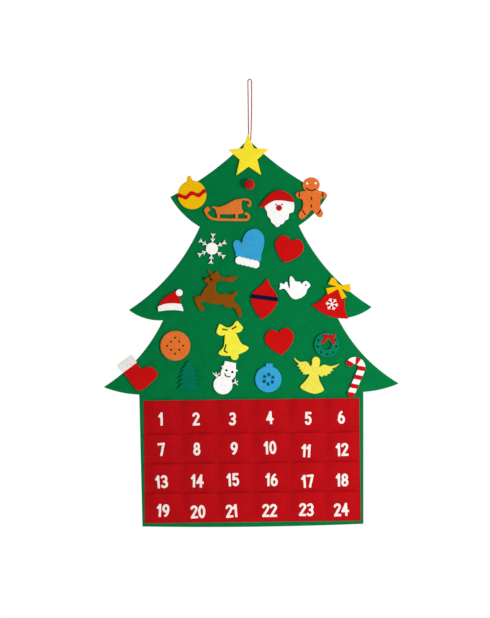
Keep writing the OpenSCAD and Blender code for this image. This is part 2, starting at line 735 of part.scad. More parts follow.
module snowflake() {
    twig = snowflake_twig;
    color("white") at(snowflake_spot, snowflake_turn) felt(base_d, ornament_t) {
        circle(r = snowflake_hub_r);
        for (i = [0:5]) rotate(60 * i) {
            reach = snowflake_r - snowflake_stem_w / 2;
            inner = snowflake_hub_r + (reach - snowflake_hub_r) / 6;
            outer = reach - twig[1];
            band([[0, 0], [0, reach]], snowflake_stem_w);
            band([[-twig[0], inner + twig[1]], [0, inner], [twig[0], inner + twig[1]]], snowflake_stem_w);
            band([[-twig[0], reach], [0, outer], [twig[0], reach]], snowflake_stem_w);
        }
    }
}

// Mitten with a thumb and a scalloped cuff
mitten_hand = [[-26, -26], [-33, -17], [-41, -5], [-44, 5], [-40.5, 13], [-32, 14.5], [-24, 10], [-22.5, 25],
    [-16.5, 41], [0, 52], [17.5, 47.5], [28.5, 34], [32, 15], [31, -6], [29, -26]];
mitten_wrist = [[-25, -42], [29, -20]];
mitten_scallops = [-19.5, -9, 1.5, 12, 22.5];
mitten_scallop_r = 10;
mitten_cuff_y = -34;

module mitten_drawing() {
    scale(mitten_h / mitten_drawn) children();
}

module mitten() {
    color("deepskyblue") at(mitten_spot, mitten_turn) felt(base_d, ornament_t) mitten_drawing() softened() {
        polygon(smooth(mitten_hand));
        translate(mitten_wrist[0]) square(mitten_wrist[1] - mitten_wrist[0]);
    }
}

module mitten_cuff() {
    color("white") at(mitten_spot, mitten_turn) felt(trim_d, trim_t) mitten_drawing()
        offset(r = fine_r, $fn = 20)
            for (x = mitten_scallops) translate([x, mitten_cuff_y]) circle(r = mitten_scallop_r - fine_r);
}

// Hearts
heart_half = [[0, 18], [7, 25], [18, 28], [29, 23], [36, 9], [33, -6], [20, -23], [0, -38]];

module heart() {
    softened() polygon(both_sides(smooth_line(stretched(heart_half, heart_drawn, [heart_w, heart_h]))));
}

module upper_heart() {
    color("red") at(upper_heart_spot, upper_heart_turn) felt(base_d, ornament_t) heart();
}

module lower_heart() {
    color("red") at(lower_heart_spot, lower_heart_turn) felt(base_d, ornament_t) heart();
}

// Leaping reindeer with a dark nose and eye
reindeer_line = [[-33.5, 38], [-26, 29.5], [-21.5, 26], [-28.5, 16], [-36, 5], [-41, -3.5], [-50, -4.5],
    [-56.5, -9], [-54.5, -19], [-49.5, -30], [-41, -41], [-32, -38.5], [-34, -30.5], [-42.5, -21],
    [-34, -19], [-24, -20.5], [-6, -24.5], [13, -26], [21, -32], [31, -33.5], [41, -34], [47, -43],
    [52.5, -55], [58.5, -58], [62, -50], [59, -38], [52, -26], [43, -18.5], [42.5, -9], [51, -1], [50, 6],
    [43, 4.5], [35, 0], [19.5, 0.5], [5, 0.5], [-2, 6], [-3.5, 16], [-2, 25.5], [4, 32], [16.5, 34],
    [28, 30.5], [37, 30], [47, 36], [52.5, 41.5], [40, 44.5], [24, 42], [11, 44], [5.5, 50], [2, 57.5],
    [-4, 54], [-11, 52], [-20, 61], [-21.5, 55], [-14.5, 48], [-18, 42], [-25.5, 41], [-32, 43]];
reindeer_eye_spot = [-13.8, 36.5];
reindeer_nose_spot = [-30.5, 40];
reindeer_eye_r = 3.2;
reindeer_nose_r = 3;

module reindeer_drawing() {
    scale(reindeer_w / reindeer_drawn) children();
}

module reindeer() {
    color("saddlebrown") at(reindeer_spot) felt(base_d, ornament_t) reindeer_drawing()
        polygon(smooth(reindeer_line, 3));
}

module reindeer_face() {
    color("black") at(reindeer_spot) felt(trim_d, trim_t) reindeer_drawing() {
        translate(reindeer_eye_spot) circle(r = reindeer_eye_r, $fn = 20);
        translate(reindeer_nose_spot) circle(r = reindeer_nose_r, $fn = 24);
    }
}

// Red hat with a white band and a white tip
hat_cone = [[-27, -20], [-28, -10], [-20, 4], [-6, 15.5], [9, 25], [20, 26], [24, 14], [27, -2], [32, -20],
    [2, -18]];
hat_band_top = [[-30, -11], [-16, -5.5], [0, -3], [15, -3.5], [29, -5]];
hat_band_foot = [[35, -23.5], [18, -21], [2, -20.5], [-14, -21.5], [-29.5, -23.5]];
hat_pom_spot = [24, 23];
hat_pom_r = 8.6;
hat_band_r = 2;

module hat_drawing() {
    scale(hat_w / hat_drawn) children();
}

module santa_hat() {
    color("red") at(hat_spot) felt(base_d, ornament_t) hat_drawing() polygon(smooth(hat_cone));
}

module hat_band() {
    color("white") at(hat_spot) felt(trim_d, trim_t) hat_drawing()
        softened(hat_band_r) polygon(concat(smooth_line(hat_band_top), smooth_line(hat_band_foot)));
}

module hat_pom() {
    color("white") at(hat_spot) felt(trim_d, trim_t) hat_drawing()
        translate(hat_pom_spot) circle(r = hat_pom_r);
}

// Drop-shaped bauble with a dark band
drop_half = [[0, 52], [4, 46], [8, 38], [17, 27.5], [28, 15.5], [33.5, 1], [31, -14], [21, -31], [9, -45],
    [0, -51]];
drop_band_y = 2.5;

module drop_outline() {
    softened() polygon(both_sides(smooth_line(stretched(drop_half, drop_drawn, [drop_w, drop_h]))));
}

module red_bauble() {
    color("red") at(drop_spot, drop_turn) felt(base_d, ornament_t) drop_outline();
}

module red_bauble_band() {
    color("midnightblue") at(drop_spot, drop_turn) felt(trim_d, trim_t) intersection() {
        drop_outline();
        translate([-drop_w, drop_band_y - drop_band_w / 2]) square([2 * drop_w, drop_band_w]);
    }
}

// Dove with a raised wing and a dark eye
dove_line = [[-9, 31], [-2, 24], [2, 18], [13.5, 16], [17, 10.5], [21, 15.5], [28, 18.5], [35, 14],
    [39, 7], [35.5, 1.5], [31, -3], [27, -14], [18, -22], [9, -25.5], [0, -27], [-9, -22.5], [-15, -15],
    [-22, -4.5], [-29, 0], [-35, -2], [-39, -1.5], [-37, 5.5], [-37, 13], [-31.5, 13], [-27, 11],
    [-24, 16], [-19, 16], [-16.5, 6], [-13.5, 1], [-12.5, 8], [-13, 20], [-12, 28]];
dove_eye_spot = [27.5, 8];
dove_eye_r = 2;

module dove_drawing() {
    scale(dove_w / dove_drawn) children();
}

module dove() {
    color("white") at(dove_spot) felt(base_d, ornament_t) dove_drawing() polygon(smooth(dove_line, 3));
}

module dove_eye() {
    color("black") at(dove_spot) felt(trim_d, trim_t) dove_drawing()
        translate(dove_eye_spot) circle(r = dove_eye_r, $fn = 20);
}

// Red bell with a ribbon bow and a white snowflake
red_bell_half = [[0, 31], [12.6, 28.5], [22, 17], [27.8, 4], [34.8, -11], [49, -26.5]];
red_bell_foot = [[49, -26.5], [32.7, -32], [14.8, -35.5], [0, -36.7]];
red_bell_shift = 6;
red_bell_bow_parts = [
    [[16, 36], [-8, 43], [0, 59], [8, 58], [20, 39]],
    [[20, 38], [47, 43], [48, 29], [44, 22], [22, 32]],
    [[14, 37], [-14, 32.5], [-9, 17], [16, 30]],
    [[16, 32], [25, 4.5], [38, 10], [24, 32]]
];
red_bell_knot = [18.5, 35];
red_bell_knot_r = 7;
red_bell_flake_spot = [1, -7.5];
red_bell_flake_r = 16;
red_bell_flake_w = 2.2;
red_bell_flake_twig = 3.6;
red_bell_flake_fork = 0.55;
red_bell_flake_turn = 20;

module red_bell_drawing() {
    scale(red_bell_w / red_bell_drawn) children();
}

module red_bell() {
    half = concat(smooth_line(red_bell_half), smooth_line(red_bell_foot));
    color("red") at(red_bell_spot, red_bell_turn) felt(base_d, ornament_t) red_bell_drawing()
        softened() translate([red_bell_shift, 0]) polygon(both_sides(half));
}

module red_bell_bow() {
    color("orange") at(red_bell_spot) felt(trim_d, trim_t) red_bell_drawing() softened(fine_r) {
        for (part = red_bell_bow_parts) polygon(part);
        translate(red_bell_knot) circle(r = red_bell_knot_r);
    }
}

module red_bell_snowflake() {
    color("white") at(red_bell_spot) felt(trim_d, trim_t) red_bell_drawing()
        translate(red_bell_flake_spot) rotate(red_bell_flake_turn) {
            fork = red_bell_flake_fork * red_bell_flake_r;
            twig = red_bell_flake_twig;
            asterisk(red_bell_flake_r, red_bell_flake_w);
            for (i = [0:5]) rotate(60 * i)
                band([[-twig, fork + twig], [0, fork], [twig, fork + twig]], red_bell_flake_w);
        }
}

// Round cookie with eight dark dots
cookie_dot_r = 2.3;
cookie_ring_r = 20;
cookie_inner_r = 14.5;

module cookie() {
    color("chocolate") at(cookie_spot) felt(base_d, ornament_t) circle(d = cookie_d);
}

module cookie_dots() {
    color("saddlebrown") at(cookie_spot) felt(trim_d, trim_t)
        for (i = [0:3]) {
            rotate(90 * i) translate([cookie_ring_r, 0]) circle(r = cookie_dot_r, $fn = 20);
            rotate(90 * i + 45) translate([cookie_inner_r, 0]) circle(r = cookie_dot_r, $fn = 20);
        }
}

// Yellow bell cut in one piece with its bow, with slits in the bow and on the bell
yellow_bell_half = [[0, 29], [12, 24], [17, 10], [23, -8], [36.5, -18], [37.5, -23], [32, -28], [14, -33],
    [0, -34]];
yellow_bell_loop = [[0, 37], [9, 40], [21, 50], [28, 42], [33.5, 29.5], [24, 20.5], [10, 22], [0, 26]];
yellow_bell_clapper = [0, -36];
yellow_bell_clapper_r = 10;
yellow_bell_slit = [[7, 32], [17, 36]];
yellow_bell_mark = [[-16.5, -4], [-23, -18.5], [-17, -23]];
yellow_bell_slit_w = 3.4;

module yellow_bell() {
    color("yellow") at(yellow_bell_spot, yellow_bell_turn) felt(base_d, ornament_t)
        scale(yellow_bell_w / yellow_bell_drawn) difference() {
            softened() {
                polygon(both_sides(smooth_line(yellow_bell_half)));
                polygon(both_sides(smooth_line(yellow_bell_loop)));
                translate(yellow_bell_clapper) circle(r = yellow_bell_clapper_r);
            }
            band(yellow_bell_slit, yellow_bell_slit_w);
            mirror([1, 0]) band(yellow_bell_slit, yellow_bell_slit_w);
            band(yellow_bell_mark, yellow_bell_slit_w);
        }
}

// Wreath: a ring with punched holes and a ribbon bow
wreath_punch_d = 5.2;
wreath_punch_share = 0.75;
wreath_punches = 9;
wreath_punch_turn = -10;
wreath_bow_parts = [
    [[-10, 26], [3.5, 25.5], [7, 21], [3, 15], [-9, 2], [-15.5, 3.5], [-7, 17]],
    [[6, 23], [22, 27], [21, 20.5], [18, 13], [22, 4], [16, -2], [12, 9], [5, 18]]
];

module wreath() {
    color("teal") at(wreath_spot) felt(base_d, ornament_t) difference() {
        circle(d = wreath_d);
        circle(d = wreath_hole_d);
        for (i = [0:wreath_punches - 1])
            rotate(360 / wreath_punches * i + wreath_punch_turn)
                translate([wreath_punch_share * wreath_d / 2, 0]) circle(d = wreath_punch_d, $fn = 16);
    }
}

module wreath_bow() {
    color("red") at(wreath_spot) felt(trim_d, trim_t) softened(fine_r)
        for (part = wreath_bow_parts) polygon(part);
}

// Stocking with a light cuff
stocking_line = [[-26.5, 40], [-27.5, 22], [-27.5, 2], [-28, -18], [-27, -31], [-20, -39], [-6, -41],
    [12, -39.5], [29, -37.5], [38.5, -32], [41, -21.5], [37, -8.5], [29.5, -1.5], [20, 1], [14.5, 5],
    [13, 14], [13, 27], [13.5, 40]];
stocking_cuff_box = [[-29.5, 22.5], [15.5, 47]];
stocking_cuff_r = 3;

module stocking_drawing() {
    scale(stocking_h / stocking_drawn) children();
}

module stocking() {
    color("red") at(stocking_spot, stocking_turn) felt(base_d, ornament_t) stocking_drawing()
        polygon(smooth(stocking_line));
}

module stocking_cuff() {
    box = stocking_cuff_box;
    color("ivory") at(stocking_spot, stocking_turn) felt(trim_d, trim_t) stocking_drawing()
        softened(stocking_cuff_r) translate(box[0]) square(box[1] - box[0]);
}

// Small fir with six ragged tiers that flare out fast below the top
fir_tiers = 6;
fir_notch_share = 0.58;
fir_flare = 2.6;
fir_foot_share = 0.3;
fir_hem_h = 4;
fir_notch_rise = 0.05;
fir_first_drop = 1;
fir_spare = 0.5;

module fir_tree() {
    step = fir_h / (fir_tiers + fir_spare);
    foot = -fir_h / 2;
    tip = [for (i = [1:fir_tiers]) fir_w / 2 * (1 - pow(1 - i / fir_tiers, fir_flare))];
    tiers = [for (i = [0:fir_tiers - 2], end = [0, 1]) let (y = fir_h / 2 - step * (i + fir_first_drop))
        end == 0 ? [tip[i], y] : [tip[i] * fir_notch_share, y + step * fir_notch_rise]];
    hem = [[fir_w / 2, foot + fir_hem_h], [fir_foot_share * fir_w / 2, foot], [0, foot]];
    half = concat([[0, -foot]], tiers, hem);
    color("darkgreen") at(fir_spot) felt(base_d, ornament_t) softened(fine_r) polygon(both_sides(half));
}

// Snowman with a tall hat, small hands and a stitched face
snowman_body = [-8.5, -16.5];
snowman_body_r = 24;
snowman_head = [5, 12.5];
snowman_head_r = 19;
snowman_hat = [[-3, 43], [25, 37.5], [24, 23], [29.5, 19], [27, 16], [8, 19], [-12, 28], [-11, 31],
    [-6.5, 31.5]];
snowman_hands = [
    [[-18, -1], [-25, 5], [-33, 13]], [[-25, 5], [-25.5, 14]], [[-25, 5], [-17, 12]],
    [[12, -13], [21, -12], [28, -16]], [[21, -12], [28, -8]], [[21, -12], [22.5, -3]]
];
snowman_hand_w = 2.6;
snowman_eyes = [[1, 19.5], [15.5, 15]];
snowman_eye_r = 2.8;
snowman_smile = [[-3, 11], [-1.5, 6.5], [2, 4], [6, 3], [9.5, 4]];
snowman_smile_w = 2.6;
snowman_fillet_r = 2;

module snowman_drawing() {
    scale(snowman_h / snowman_drawn) children();
}

module snowman() {
    color("white") at(snowman_spot) felt(base_d, ornament_t) snowman_drawing() {
        offset(r = -snowman_fillet_r, $fn = 24) offset(r = snowman_fillet_r, $fn = 24) {
            translate(snowman_body) circle(r = snowman_body_r);
            translate(snowman_head) circle(r = snowman_head_r);
            polygon(snowman_hat);
        }
        for (part = snowman_hands) band(part, snowman_hand_w);
    }
}

module snowman_face() {
    color("black") at(snowman_spot) felt(trim_d, trim_t) snowman_drawing() {
        for (p = snowman_eyes) translate(p) circle(r = snowman_eye_r, $fn = 24);
        band(smooth_line(snowman_smile), snowman_smile_w);
    }
}

// Blue bauble with a square cap and six flake-shaped cut-outs
blue_cap_w = 17;
blue_cap_h = 7;
blue_cap_sink = 3;
blue_flakes = 6;
blue_flake_ring_r = 11.8;
blue_flake_r = 5;
blue_flake_w = 2;

module blue_bauble() {
    color("deepskyblue") at(blue_spot, blue_turn) felt(base_d, ornament_t) difference() {
        union() {
            circle(d = blue_d);
            translate([-blue_cap_w / 2, blue_d / 2 - blue_cap_sink])
                square([blue_cap_w, blue_cap_h + blue_cap_sink]);
        }
        for (i = [0:blue_flakes - 1])
            rotate(360 / blue_flakes * (i + 0.5)) translate([blue_flake_ring_r, 0])
                asterisk(blue_flake_r, blue_flake_w);
    }
}

// Angel with feathered wings and a bell-shaped gown, cut in one piece
angel_line = [[2, 47], [9, 44], [12.5, 37], [11.5, 28], [11, 21.5], [16, 24.5], [24, 27], [34, 23.5],
    [43.5, 23.5], [53, 26], [61, 29], [52, 20.5], [42, 16.5], [46, 12], [38.5, 9.5], [38, 4.5], [31, 3.5],
    [29.5, -1], [22, 0.5], [18.5, -3], [12.5, -2], [8, 2.5], [10.5, -12], [16, -24], [21.5, -36],
    [15.5, -41.5], [6.5, -44.5], [-2, -45.8], [-12, -43.5], [-26, -38], [-35, -32], [-37.5, -26.5],
    [-27, -15.5], [-18.5, -5], [-15, 3], [-23, 3], [-31, 4.5], [-30, 8.5], [-36, 10.5], [-34, 14.5],
    [-40.5, 17], [-38.5, 21], [-45, 25], [-41, 29.5], [-48.5, 37], [-53, 45.5], [-43.5, 38], [-36, 34.5],
    [-24, 35.5], [-17, 31.5], [-12, 24], [-8, 28.5], [-7.5, 39], [-3.5, 45]];

module angel() {
    color("khaki") at(angel_spot) felt(base_d, ornament_t) scale(angel_w / angel_drawn)
        polygon(smooth(angel_line, 3));
}

// Candy cane: a white hooked band with red stripes across it
cane_hook_from = 15;
cane_hook_to = 160;
cane_hook_pts = oval([-cane_hook_r, cane_shaft], cane_hook_r, cane_hook_r, cane_hook_from, cane_hook_to);
cane_line = concat([[0, 0], [0, cane_shaft]], cane_hook_pts);
cane_middle = [-cane_hook_r / 2, (cane_shaft + cane_hook_r) / 2];
cane_stripe_l = 11;
cane_stripe_slant = 12;
cane_stripe_over = 8;
cane_shaft_stripes = 4;
cane_crown_stripe = 92;
cane_crown_spread = 30;
cane_stripe_w = 25;
cane_end_l = 14;
cane_end_drop = 4;

module cane_outline() {
    translate(-cane_middle) band(cane_line, cane_w);
}

module candy_cane() {
    color("white") at(cane_spot, cane_turn) felt(base_d, ornament_t) cane_outline();
}

// One slanted stripe of length l across the band
module cane_stripe(l) {
    rotate(cane_stripe_slant) square([cane_stripe_w, l], center = true);
}

// The wedge across the hook's crown, half its spread to each side
module cane_wedge(half) {
    reach = cane_hook_r + cane_w;
    polygon([[0, 0], reach * [cos(half), -sin(half)], reach * [cos(half), sin(half)]]);
}

module candy_stripes() {
    pitch = (cane_shaft + cane_stripe_over) / (cane_shaft_stripes - 1);
    color("red") at(cane_spot, cane_turn) felt(trim_d, trim_t) intersection() {
        cane_outline();
        translate(-cane_middle) {
            translate([0, -cane_end_drop]) cane_stripe(cane_end_l);
            for (i = [1:cane_shaft_stripes - 1])
                translate([0, pitch * i - cane_stripe_l / 3]) cane_stripe(cane_stripe_l);
            translate([-cane_hook_r, cane_shaft]) {
                rotate(cane_crown_stripe) cane_wedge(cane_crown_spread / 2);
                rotate(cane_hook_to) translate([cane_hook_r, cane_end_drop]) cane_stripe(cane_end_l);
            }
        }
    }
}

backing_sheet();
pocket_row_1();
pocket_row_2();
pocket_row_3();
pocket_row_4();
numerals_row_1();
numerals_row_2();
numerals_row_3();
numerals_row_4();
seam_thread();
hook_pads();
hanging_cord();
cord_bar_tack();
star_topper();
red_pompom();
yellow_bauble();
yellow_bauble_band();
sleigh();
santa_head();
santa_cap();
santa_nose();
santa_eyes();
gingerbread_man();
gingerbread_eyes();
gingerbread_stitches();
snowflake();
mitten();
mitten_cuff();
upper_heart();
reindeer();
reindeer_face();
santa_hat();
hat_band();
hat_pom();
red_bauble();
red_bauble_band();
dove();
dove_eye();
red_bell();
red_bell_bow();
red_bell_snowflake();
cookie();
cookie_dots();
yellow_bell();
lower_heart();
wreath();
wreath_bow();
stocking();
stocking_cuff();
fir_tree();
snowman();
snowman_face();
blue_bauble();
angel();
candy_cane();
candy_stripes();
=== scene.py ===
"""Looks of the felt tree calendar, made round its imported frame: cord, felt, stitches, pads and ornaments."""
import math
import random
from collections import Counter

import bpy
import numpy as np
from mathutils import Matrix, Vector, geometry, noise


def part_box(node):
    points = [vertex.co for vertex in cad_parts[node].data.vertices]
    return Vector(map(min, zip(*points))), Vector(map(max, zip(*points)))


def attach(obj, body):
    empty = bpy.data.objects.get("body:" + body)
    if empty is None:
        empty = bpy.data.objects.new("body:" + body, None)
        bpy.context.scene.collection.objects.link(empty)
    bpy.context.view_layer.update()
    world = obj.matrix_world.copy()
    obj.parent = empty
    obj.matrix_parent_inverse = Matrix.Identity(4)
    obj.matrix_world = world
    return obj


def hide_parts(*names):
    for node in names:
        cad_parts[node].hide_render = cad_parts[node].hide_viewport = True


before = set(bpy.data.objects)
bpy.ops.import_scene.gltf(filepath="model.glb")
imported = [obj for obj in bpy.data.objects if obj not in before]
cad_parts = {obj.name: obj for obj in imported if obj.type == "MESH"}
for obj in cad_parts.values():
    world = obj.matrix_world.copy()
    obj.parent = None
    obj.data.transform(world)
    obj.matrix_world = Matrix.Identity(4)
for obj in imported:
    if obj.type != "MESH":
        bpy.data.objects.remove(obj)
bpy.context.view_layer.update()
scene = bpy.context.scene

# Camera: square on to the hanging calendar, with a picture 1.545 m high at the felt.
# The calendar leans 0.7 degrees in its picture, so the camera rolls by as much.
picture_h = 1.545
picture_mid = Vector((-0.0187, -0.005, -0.5729))
lean_degrees = 0.7
lens_mm = 85
sensor_mm = 36
camera_data = bpy.data.cameras.new("camera")
camera_data.lens = lens_mm
camera_data.sensor_width = sensor_mm
camera = bpy.data.objects.new("camera", camera_data)
camera.matrix_world = (
    Matrix.Translation(picture_mid - Vector((0, picture_h * lens_mm / sensor_mm, 0)))
    @ Matrix.Rotation(math.radians(90), 4, "X")
    @ Matrix.Rotation(math.radians(-lean_degrees), 4, "Z")
)
scene.collection.objects.link(camera)
scene.camera = camera


# Hanging cord: one limp length of three-ply cotton cord, two rose plies round a pale one.
# It runs up from a bar tack behind the star, over the wall hook and back down to the same tack.
def display(red, green, blue):
    """A colour as a screen shows it, 0 to 255, in the linear values that a shader takes."""
    parts = (red, green, blue)
    return tuple(((c / 255 + 0.055) / 1.055) ** 2.4 if c > 10 else c / 3295 for c in parts) + (1,)


def add_node(tree, kind, values=None, **settings):
    """A new node with its settings and its input values; a value that is a socket is linked."""
    made = tree.nodes.new(kind)
    for name, setting in settings.items():
        setattr(made, name, setting)
    for name, value in (values or {}).items():
        if isinstance(value, bpy.types.NodeSocket):
            tree.links.new(value, made.inputs[name])
        else:
            made.inputs[name].default_value = value
    return made


def add_math(tree, operation, *values):
    """The result of one sum on numbers or sockets."""
    return add_node(tree, "ShaderNodeMath", dict(enumerate(values)), operation=operation).outputs[0]


def add_noise(tree, place, scale, detail):
    """Soft noise about 0.5 at a place."""
    values = {"Vector": place, "Scale": scale, "Detail": detail}
    return add_node(tree, "ShaderNodeTexNoise", values).outputs["Fac"]


def add_range(tree, value, given_range, wanted_range):
    """A value mapped from one range to another."""
    names = ("From Min", "From Max", "To Min", "To Max")
    ends = dict(zip(names, (*given_range, *wanted_range)))
    return add_node(tree, "ShaderNodeMapRange", {"Value": value, **ends}).outputs[0]


def add_swing(tree, value, swing):
    """A factor that swings about 1 with a soft noise, by as much as swing says."""
    least = add_math(tree, "SUBTRACT", 1.0, swing)
    most = add_math(tree, "ADD", 1.0, swing)
    return add_range(tree, value, (0.3, 0.7), (least, most))


def add_tone(tree, colour, tone):
    """A colour made lighter or darker by a factor."""
    return add_node(tree, "ShaderNodeVectorMath", {0: colour, "Scale": tone}, operation="SCALE").outputs[0]


def new_group(name, **amounts):
    """A shader node group that takes a dye and some amounts, and its input node."""
    group = bpy.data.node_groups.new(name, "ShaderNodeTree")
    dye = group.interface.new_socket(name="Dye", in_out="INPUT", socket_type="NodeSocketColor")
    dye.default_value = (0.5, 0.5, 0.5, 1)
    for socket, amount in amounts.items():
        made = group.interface.new_socket(name=socket, in_out="INPUT", socket_type="NodeSocketFloat")
        made.default_value = amount
    return group, group.nodes.new("NodeGroupInput")


def put_out(group, **results):
    """Gives a group its named outputs: a colour, and values that change over the surface."""
    out = group.nodes.new("NodeGroupOutput")
    for socket, result in results.items():
        kind = "NodeSocketColor" if socket == "Colour" else "NodeSocketFloat"
        group.interface.new_socket(name=socket, in_out="OUTPUT", socket_type=kind)
        group.links.new(result, out.inputs[socket])


def spun_yarn_group():
    """Yarn: soft light and dark along the ply, stray pale fibres and a fuzzy height."""
    group, given = new_group("spun_yarn", Shade=0.3)
    place = add_node(group, "ShaderNodeTexCoord").outputs["Object"]
    clumps = add_noise(group, place, scale=520, detail=3)
    fibres = add_noise(group, place, scale=3800, detail=2)
    toned = add_tone(group, given.outputs["Dye"], add_swing(group, clumps, given.outputs["Shade"]))
    stray = add_range(group, fibres, (0.55, 0.8), (0.0, 0.3))
    pale = add_node(group, "ShaderNodeMix", {"Factor": stray, "A": toned, "B": (0.6, 0.56, 0.52, 1)},
                    data_type="RGBA", blend_type="SCREEN")
    rough = add_range(group, fibres, (0.0, 1.0), (0.75, 1.0))
    put_out(group, Colour=pale.outputs["Result"], Roughness=rough, Height=fibres)
    return group


spun_yarn = spun_yarn_group()


def dyed_finish(name, effect, dye, effect_values, bump_mm, sheen, gloss):
    """A soft matt material: an effect group's colour, roughness and height on one shader."""
    material = bpy.data.materials.new(name)
    material.use_nodes = True
    tree = material.node_tree
    shader = tree.nodes["Principled BSDF"]
    look = add_node(tree, "ShaderNodeGroup", None, node_tree=effect)
    look.inputs["Dye"].default_value = dye
    for socket, value in effect_values.items():
        look.inputs[socket].default_value = value
    bump = add_node(tree, "ShaderNodeBump",
                    {"Height": look.outputs["Height"], "Strength": 0.6, "Distance": bump_mm / 1000})
    tree.links.new(look.outputs["Colour"], shader.inputs["Base Color"])
    tree.links.new(look.outputs["Roughness"], shader.inputs["Roughness"])
    tree.links.new(bump.outputs["Normal"], shader.inputs["Normal"])
    shader.inputs["Specular IOR Level"].default_value = gloss
    shader.inputs["Sheen Weight"].default_value = sheen
    shader.inputs["Sheen Roughness"].default_value = 0.5
    shader.inputs["Sheen Tint"].default_value = tuple(0.5 + 0.5 * c for c in dye[:3]) + (1,)
    return material


def yarn(name, dye, shade=0.3):
    """Spun cotton or acrylic yarn in one dye."""
    return dyed_finish(name, spun_yarn, dye, {"Shade": shade}, bump_mm=0.15, sheen=0.04, gloss=0.1)


def add_strand(verts, faces, line, radii, sides):
    """Adds one closed tube along a line of points, with a radius at each point."""
    first = len(verts)
    count = len(line)
    side = None
    for i, point in enumerate(line):
        ahead = (line[min(i + 1, count - 1)] - line[max(i - 1, 0)]).normalized()
        if side is None:
            side = ahead.orthogonal().normalized()
        side = (side - ahead * side.dot(ahead)).normalized()
        up = ahead.cross(side)
        for j in range(sides):
            a = 2 * math.pi * j / sides
            verts.append(point + radii[i] * (math.cos(a) * side + math.sin(a) * up))
    for i in range(count - 1):
        for j in range(sides):
            a, b = first + i * sides + j, first + i * sides + (j + 1) % sides
            faces.append((a, b, b + sides, a + sides))
    faces.append(tuple(first + j for j in reversed(range(sides))))
    faces.append(tuple(first + (count - 1) * sides + j for j in range(sides)))


def new_piece(name, verts, faces, materials, body, nodes=()):
    """A smooth-shaded mesh piece that rides on a body and stands for CAD nodes."""
    mesh = bpy.data.meshes.new(name)
    mesh.from_pydata(verts, [], faces)
    for material in materials:
        mesh.materials.append(material)
    mesh.shade_smooth()
    piece = bpy.data.objects.new(name, mesh)
    scene.collection.objects.link(piece)
    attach(piece, body)
    if nodes:
        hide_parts(*nodes)
    return piece


cord_d = 0.0022
cord_half_gap = 0.0045
cord_foot_gap = 0.0035
cord_ease = 2.5
cord_depth = 0.00415
cord_end_z = -0.172
cord_bend_z = cord_d / 2 - cord_half_gap
cord_step = 0.0008
cord_rises = round((cord_bend_z - cord_end_z) / cord_step)
cord_arcs = 24
cord_rise = [cord_end_z + (cord_bend_z - cord_end_z) * i / cord_rises for i in range(cord_rises)]
cord_path = [Vector((-cord_half_gap, -cord_depth, z)) for z in cord_rise]
cord_path += [
    Vector((-cord_half_gap * math.cos(math.pi * i / cord_arcs), -cord_depth,
            cord_bend_z + cord_half_gap * math.sin(math.pi * i / cord_arcs)))
    for i in range(cord_arcs + 1)
]
cord_draw = 2 * cord_half_gap - cord_foot_gap
cord_path += [
    Vector((cord_half_gap - cord_draw * (1 - i / cord_rises) ** cord_ease, -cord_depth, cord_rise[i]))
    for i in reversed(range(cord_rises))
]

ply_r = 0.00075
ply_offset = 0.0006
ply_sides = 8
twist_pitch = 0.0062
plies = 3
verts, faces, ply_faces = [], [], []
for k in range(plies):
    line, run = [], 0.0
    for i, point in enumerate(cord_path):
        run += (point - cord_path[max(i - 1, 0)]).length
        ahead = (cord_path[min(i + 1, len(cord_path) - 1)] - cord_path[max(i - 1, 0)]).normalized()
        across = Vector((0, 1, 0)).cross(ahead)
        a = 2 * math.pi * (run / twist_pitch + k / plies)
        line.append(point + ply_offset * (math.cos(a) * across + math.sin(a) * Vector((0, 1, 0))))
    add_strand(verts, faces, line, [ply_r] * len(line), ply_sides)
    ply_faces.append(len(faces))
rose_cotton = yarn("rose_cotton", display(150, 2, 6), shade=0.2)
pale_cotton = yarn("pale_cotton", display(190, 40, 38), shade=0.2)
hanging_cord = new_piece("twisted_hanging_cord", verts, faces, [rose_cotton, pale_cotton], "tree",
                         ["hanging_cord"])
for face in hanging_cord.data.polygons[ply_faces[1]:]:
    face.material_index = 1


# Backing: one 3 mm sheet of stiff green craft felt, die-cut as a three-tiered tree on a broad foot.
# Everything else is sewn, glued or hooked to its front, and it hangs flat against the wall.
def felt_fibres_group():
    """Felt: matted fibres in three directions, cloudy dye, pale fibre ends, painted shade in the matted pits
    and a matted height.
    """
    group, given = new_group("felt_fibres", Mottle=0.12, Fleck=0.12)
    place = add_node(group, "ShaderNodeTexCoord").outputs["Object"]
    fibre = None
    for degrees in (14, 71, 132):
        along = add_node(group, "ShaderNodeMapping",
                         {"Vector": place, "Rotation": (0, math.radians(degrees), 0),
                          "Scale": (0.0007, 0.0007, 0.0065)}, vector_type="TEXTURE")
        streak = add_noise(group, along.outputs[0], scale=1.0, detail=2)
        fibre = streak if fibre is None else add_math(group, "MAXIMUM", fibre, streak)
    fibre = add_range(group, fibre, (0.48, 0.78), (0.0, 1.0))
    matted = add_noise(group, place, scale=620, detail=3)
    cloud = add_noise(group, place, scale=34, detail=5)
    tone = add_swing(group, cloud, given.outputs["Mottle"])
    # The felt darkens where the matted height sinks: painted shade in its pits, over the real cloudy dye.
    painted_pit_shade = add_range(group, matted, (0.25, 0.6), (0.78, 1.04))
    toned = add_tone(group, given.outputs["Dye"], add_math(group, "MULTIPLY", tone, painted_pit_shade))
    ends = add_math(group, "MULTIPLY", fibre, given.outputs["Fleck"])
    lit = add_node(group, "ShaderNodeGamma", {"Color": given.outputs["Dye"], "Gamma": 0.7}).outputs[0]
    pale = add_node(group, "ShaderNodeMix", {"Factor": ends, "A": toned, "B": lit}, data_type="RGBA")
    rough = add_range(group, matted, (0.0, 1.0), (0.8, 1.0))
    height = add_math(group, "MULTIPLY_ADD", fibre, 0.6, matted)
    put_out(group, Colour=pale.outputs["Result"], Roughness=rough, Height=height)
    return group


felt_fibres = felt_fibres_group()


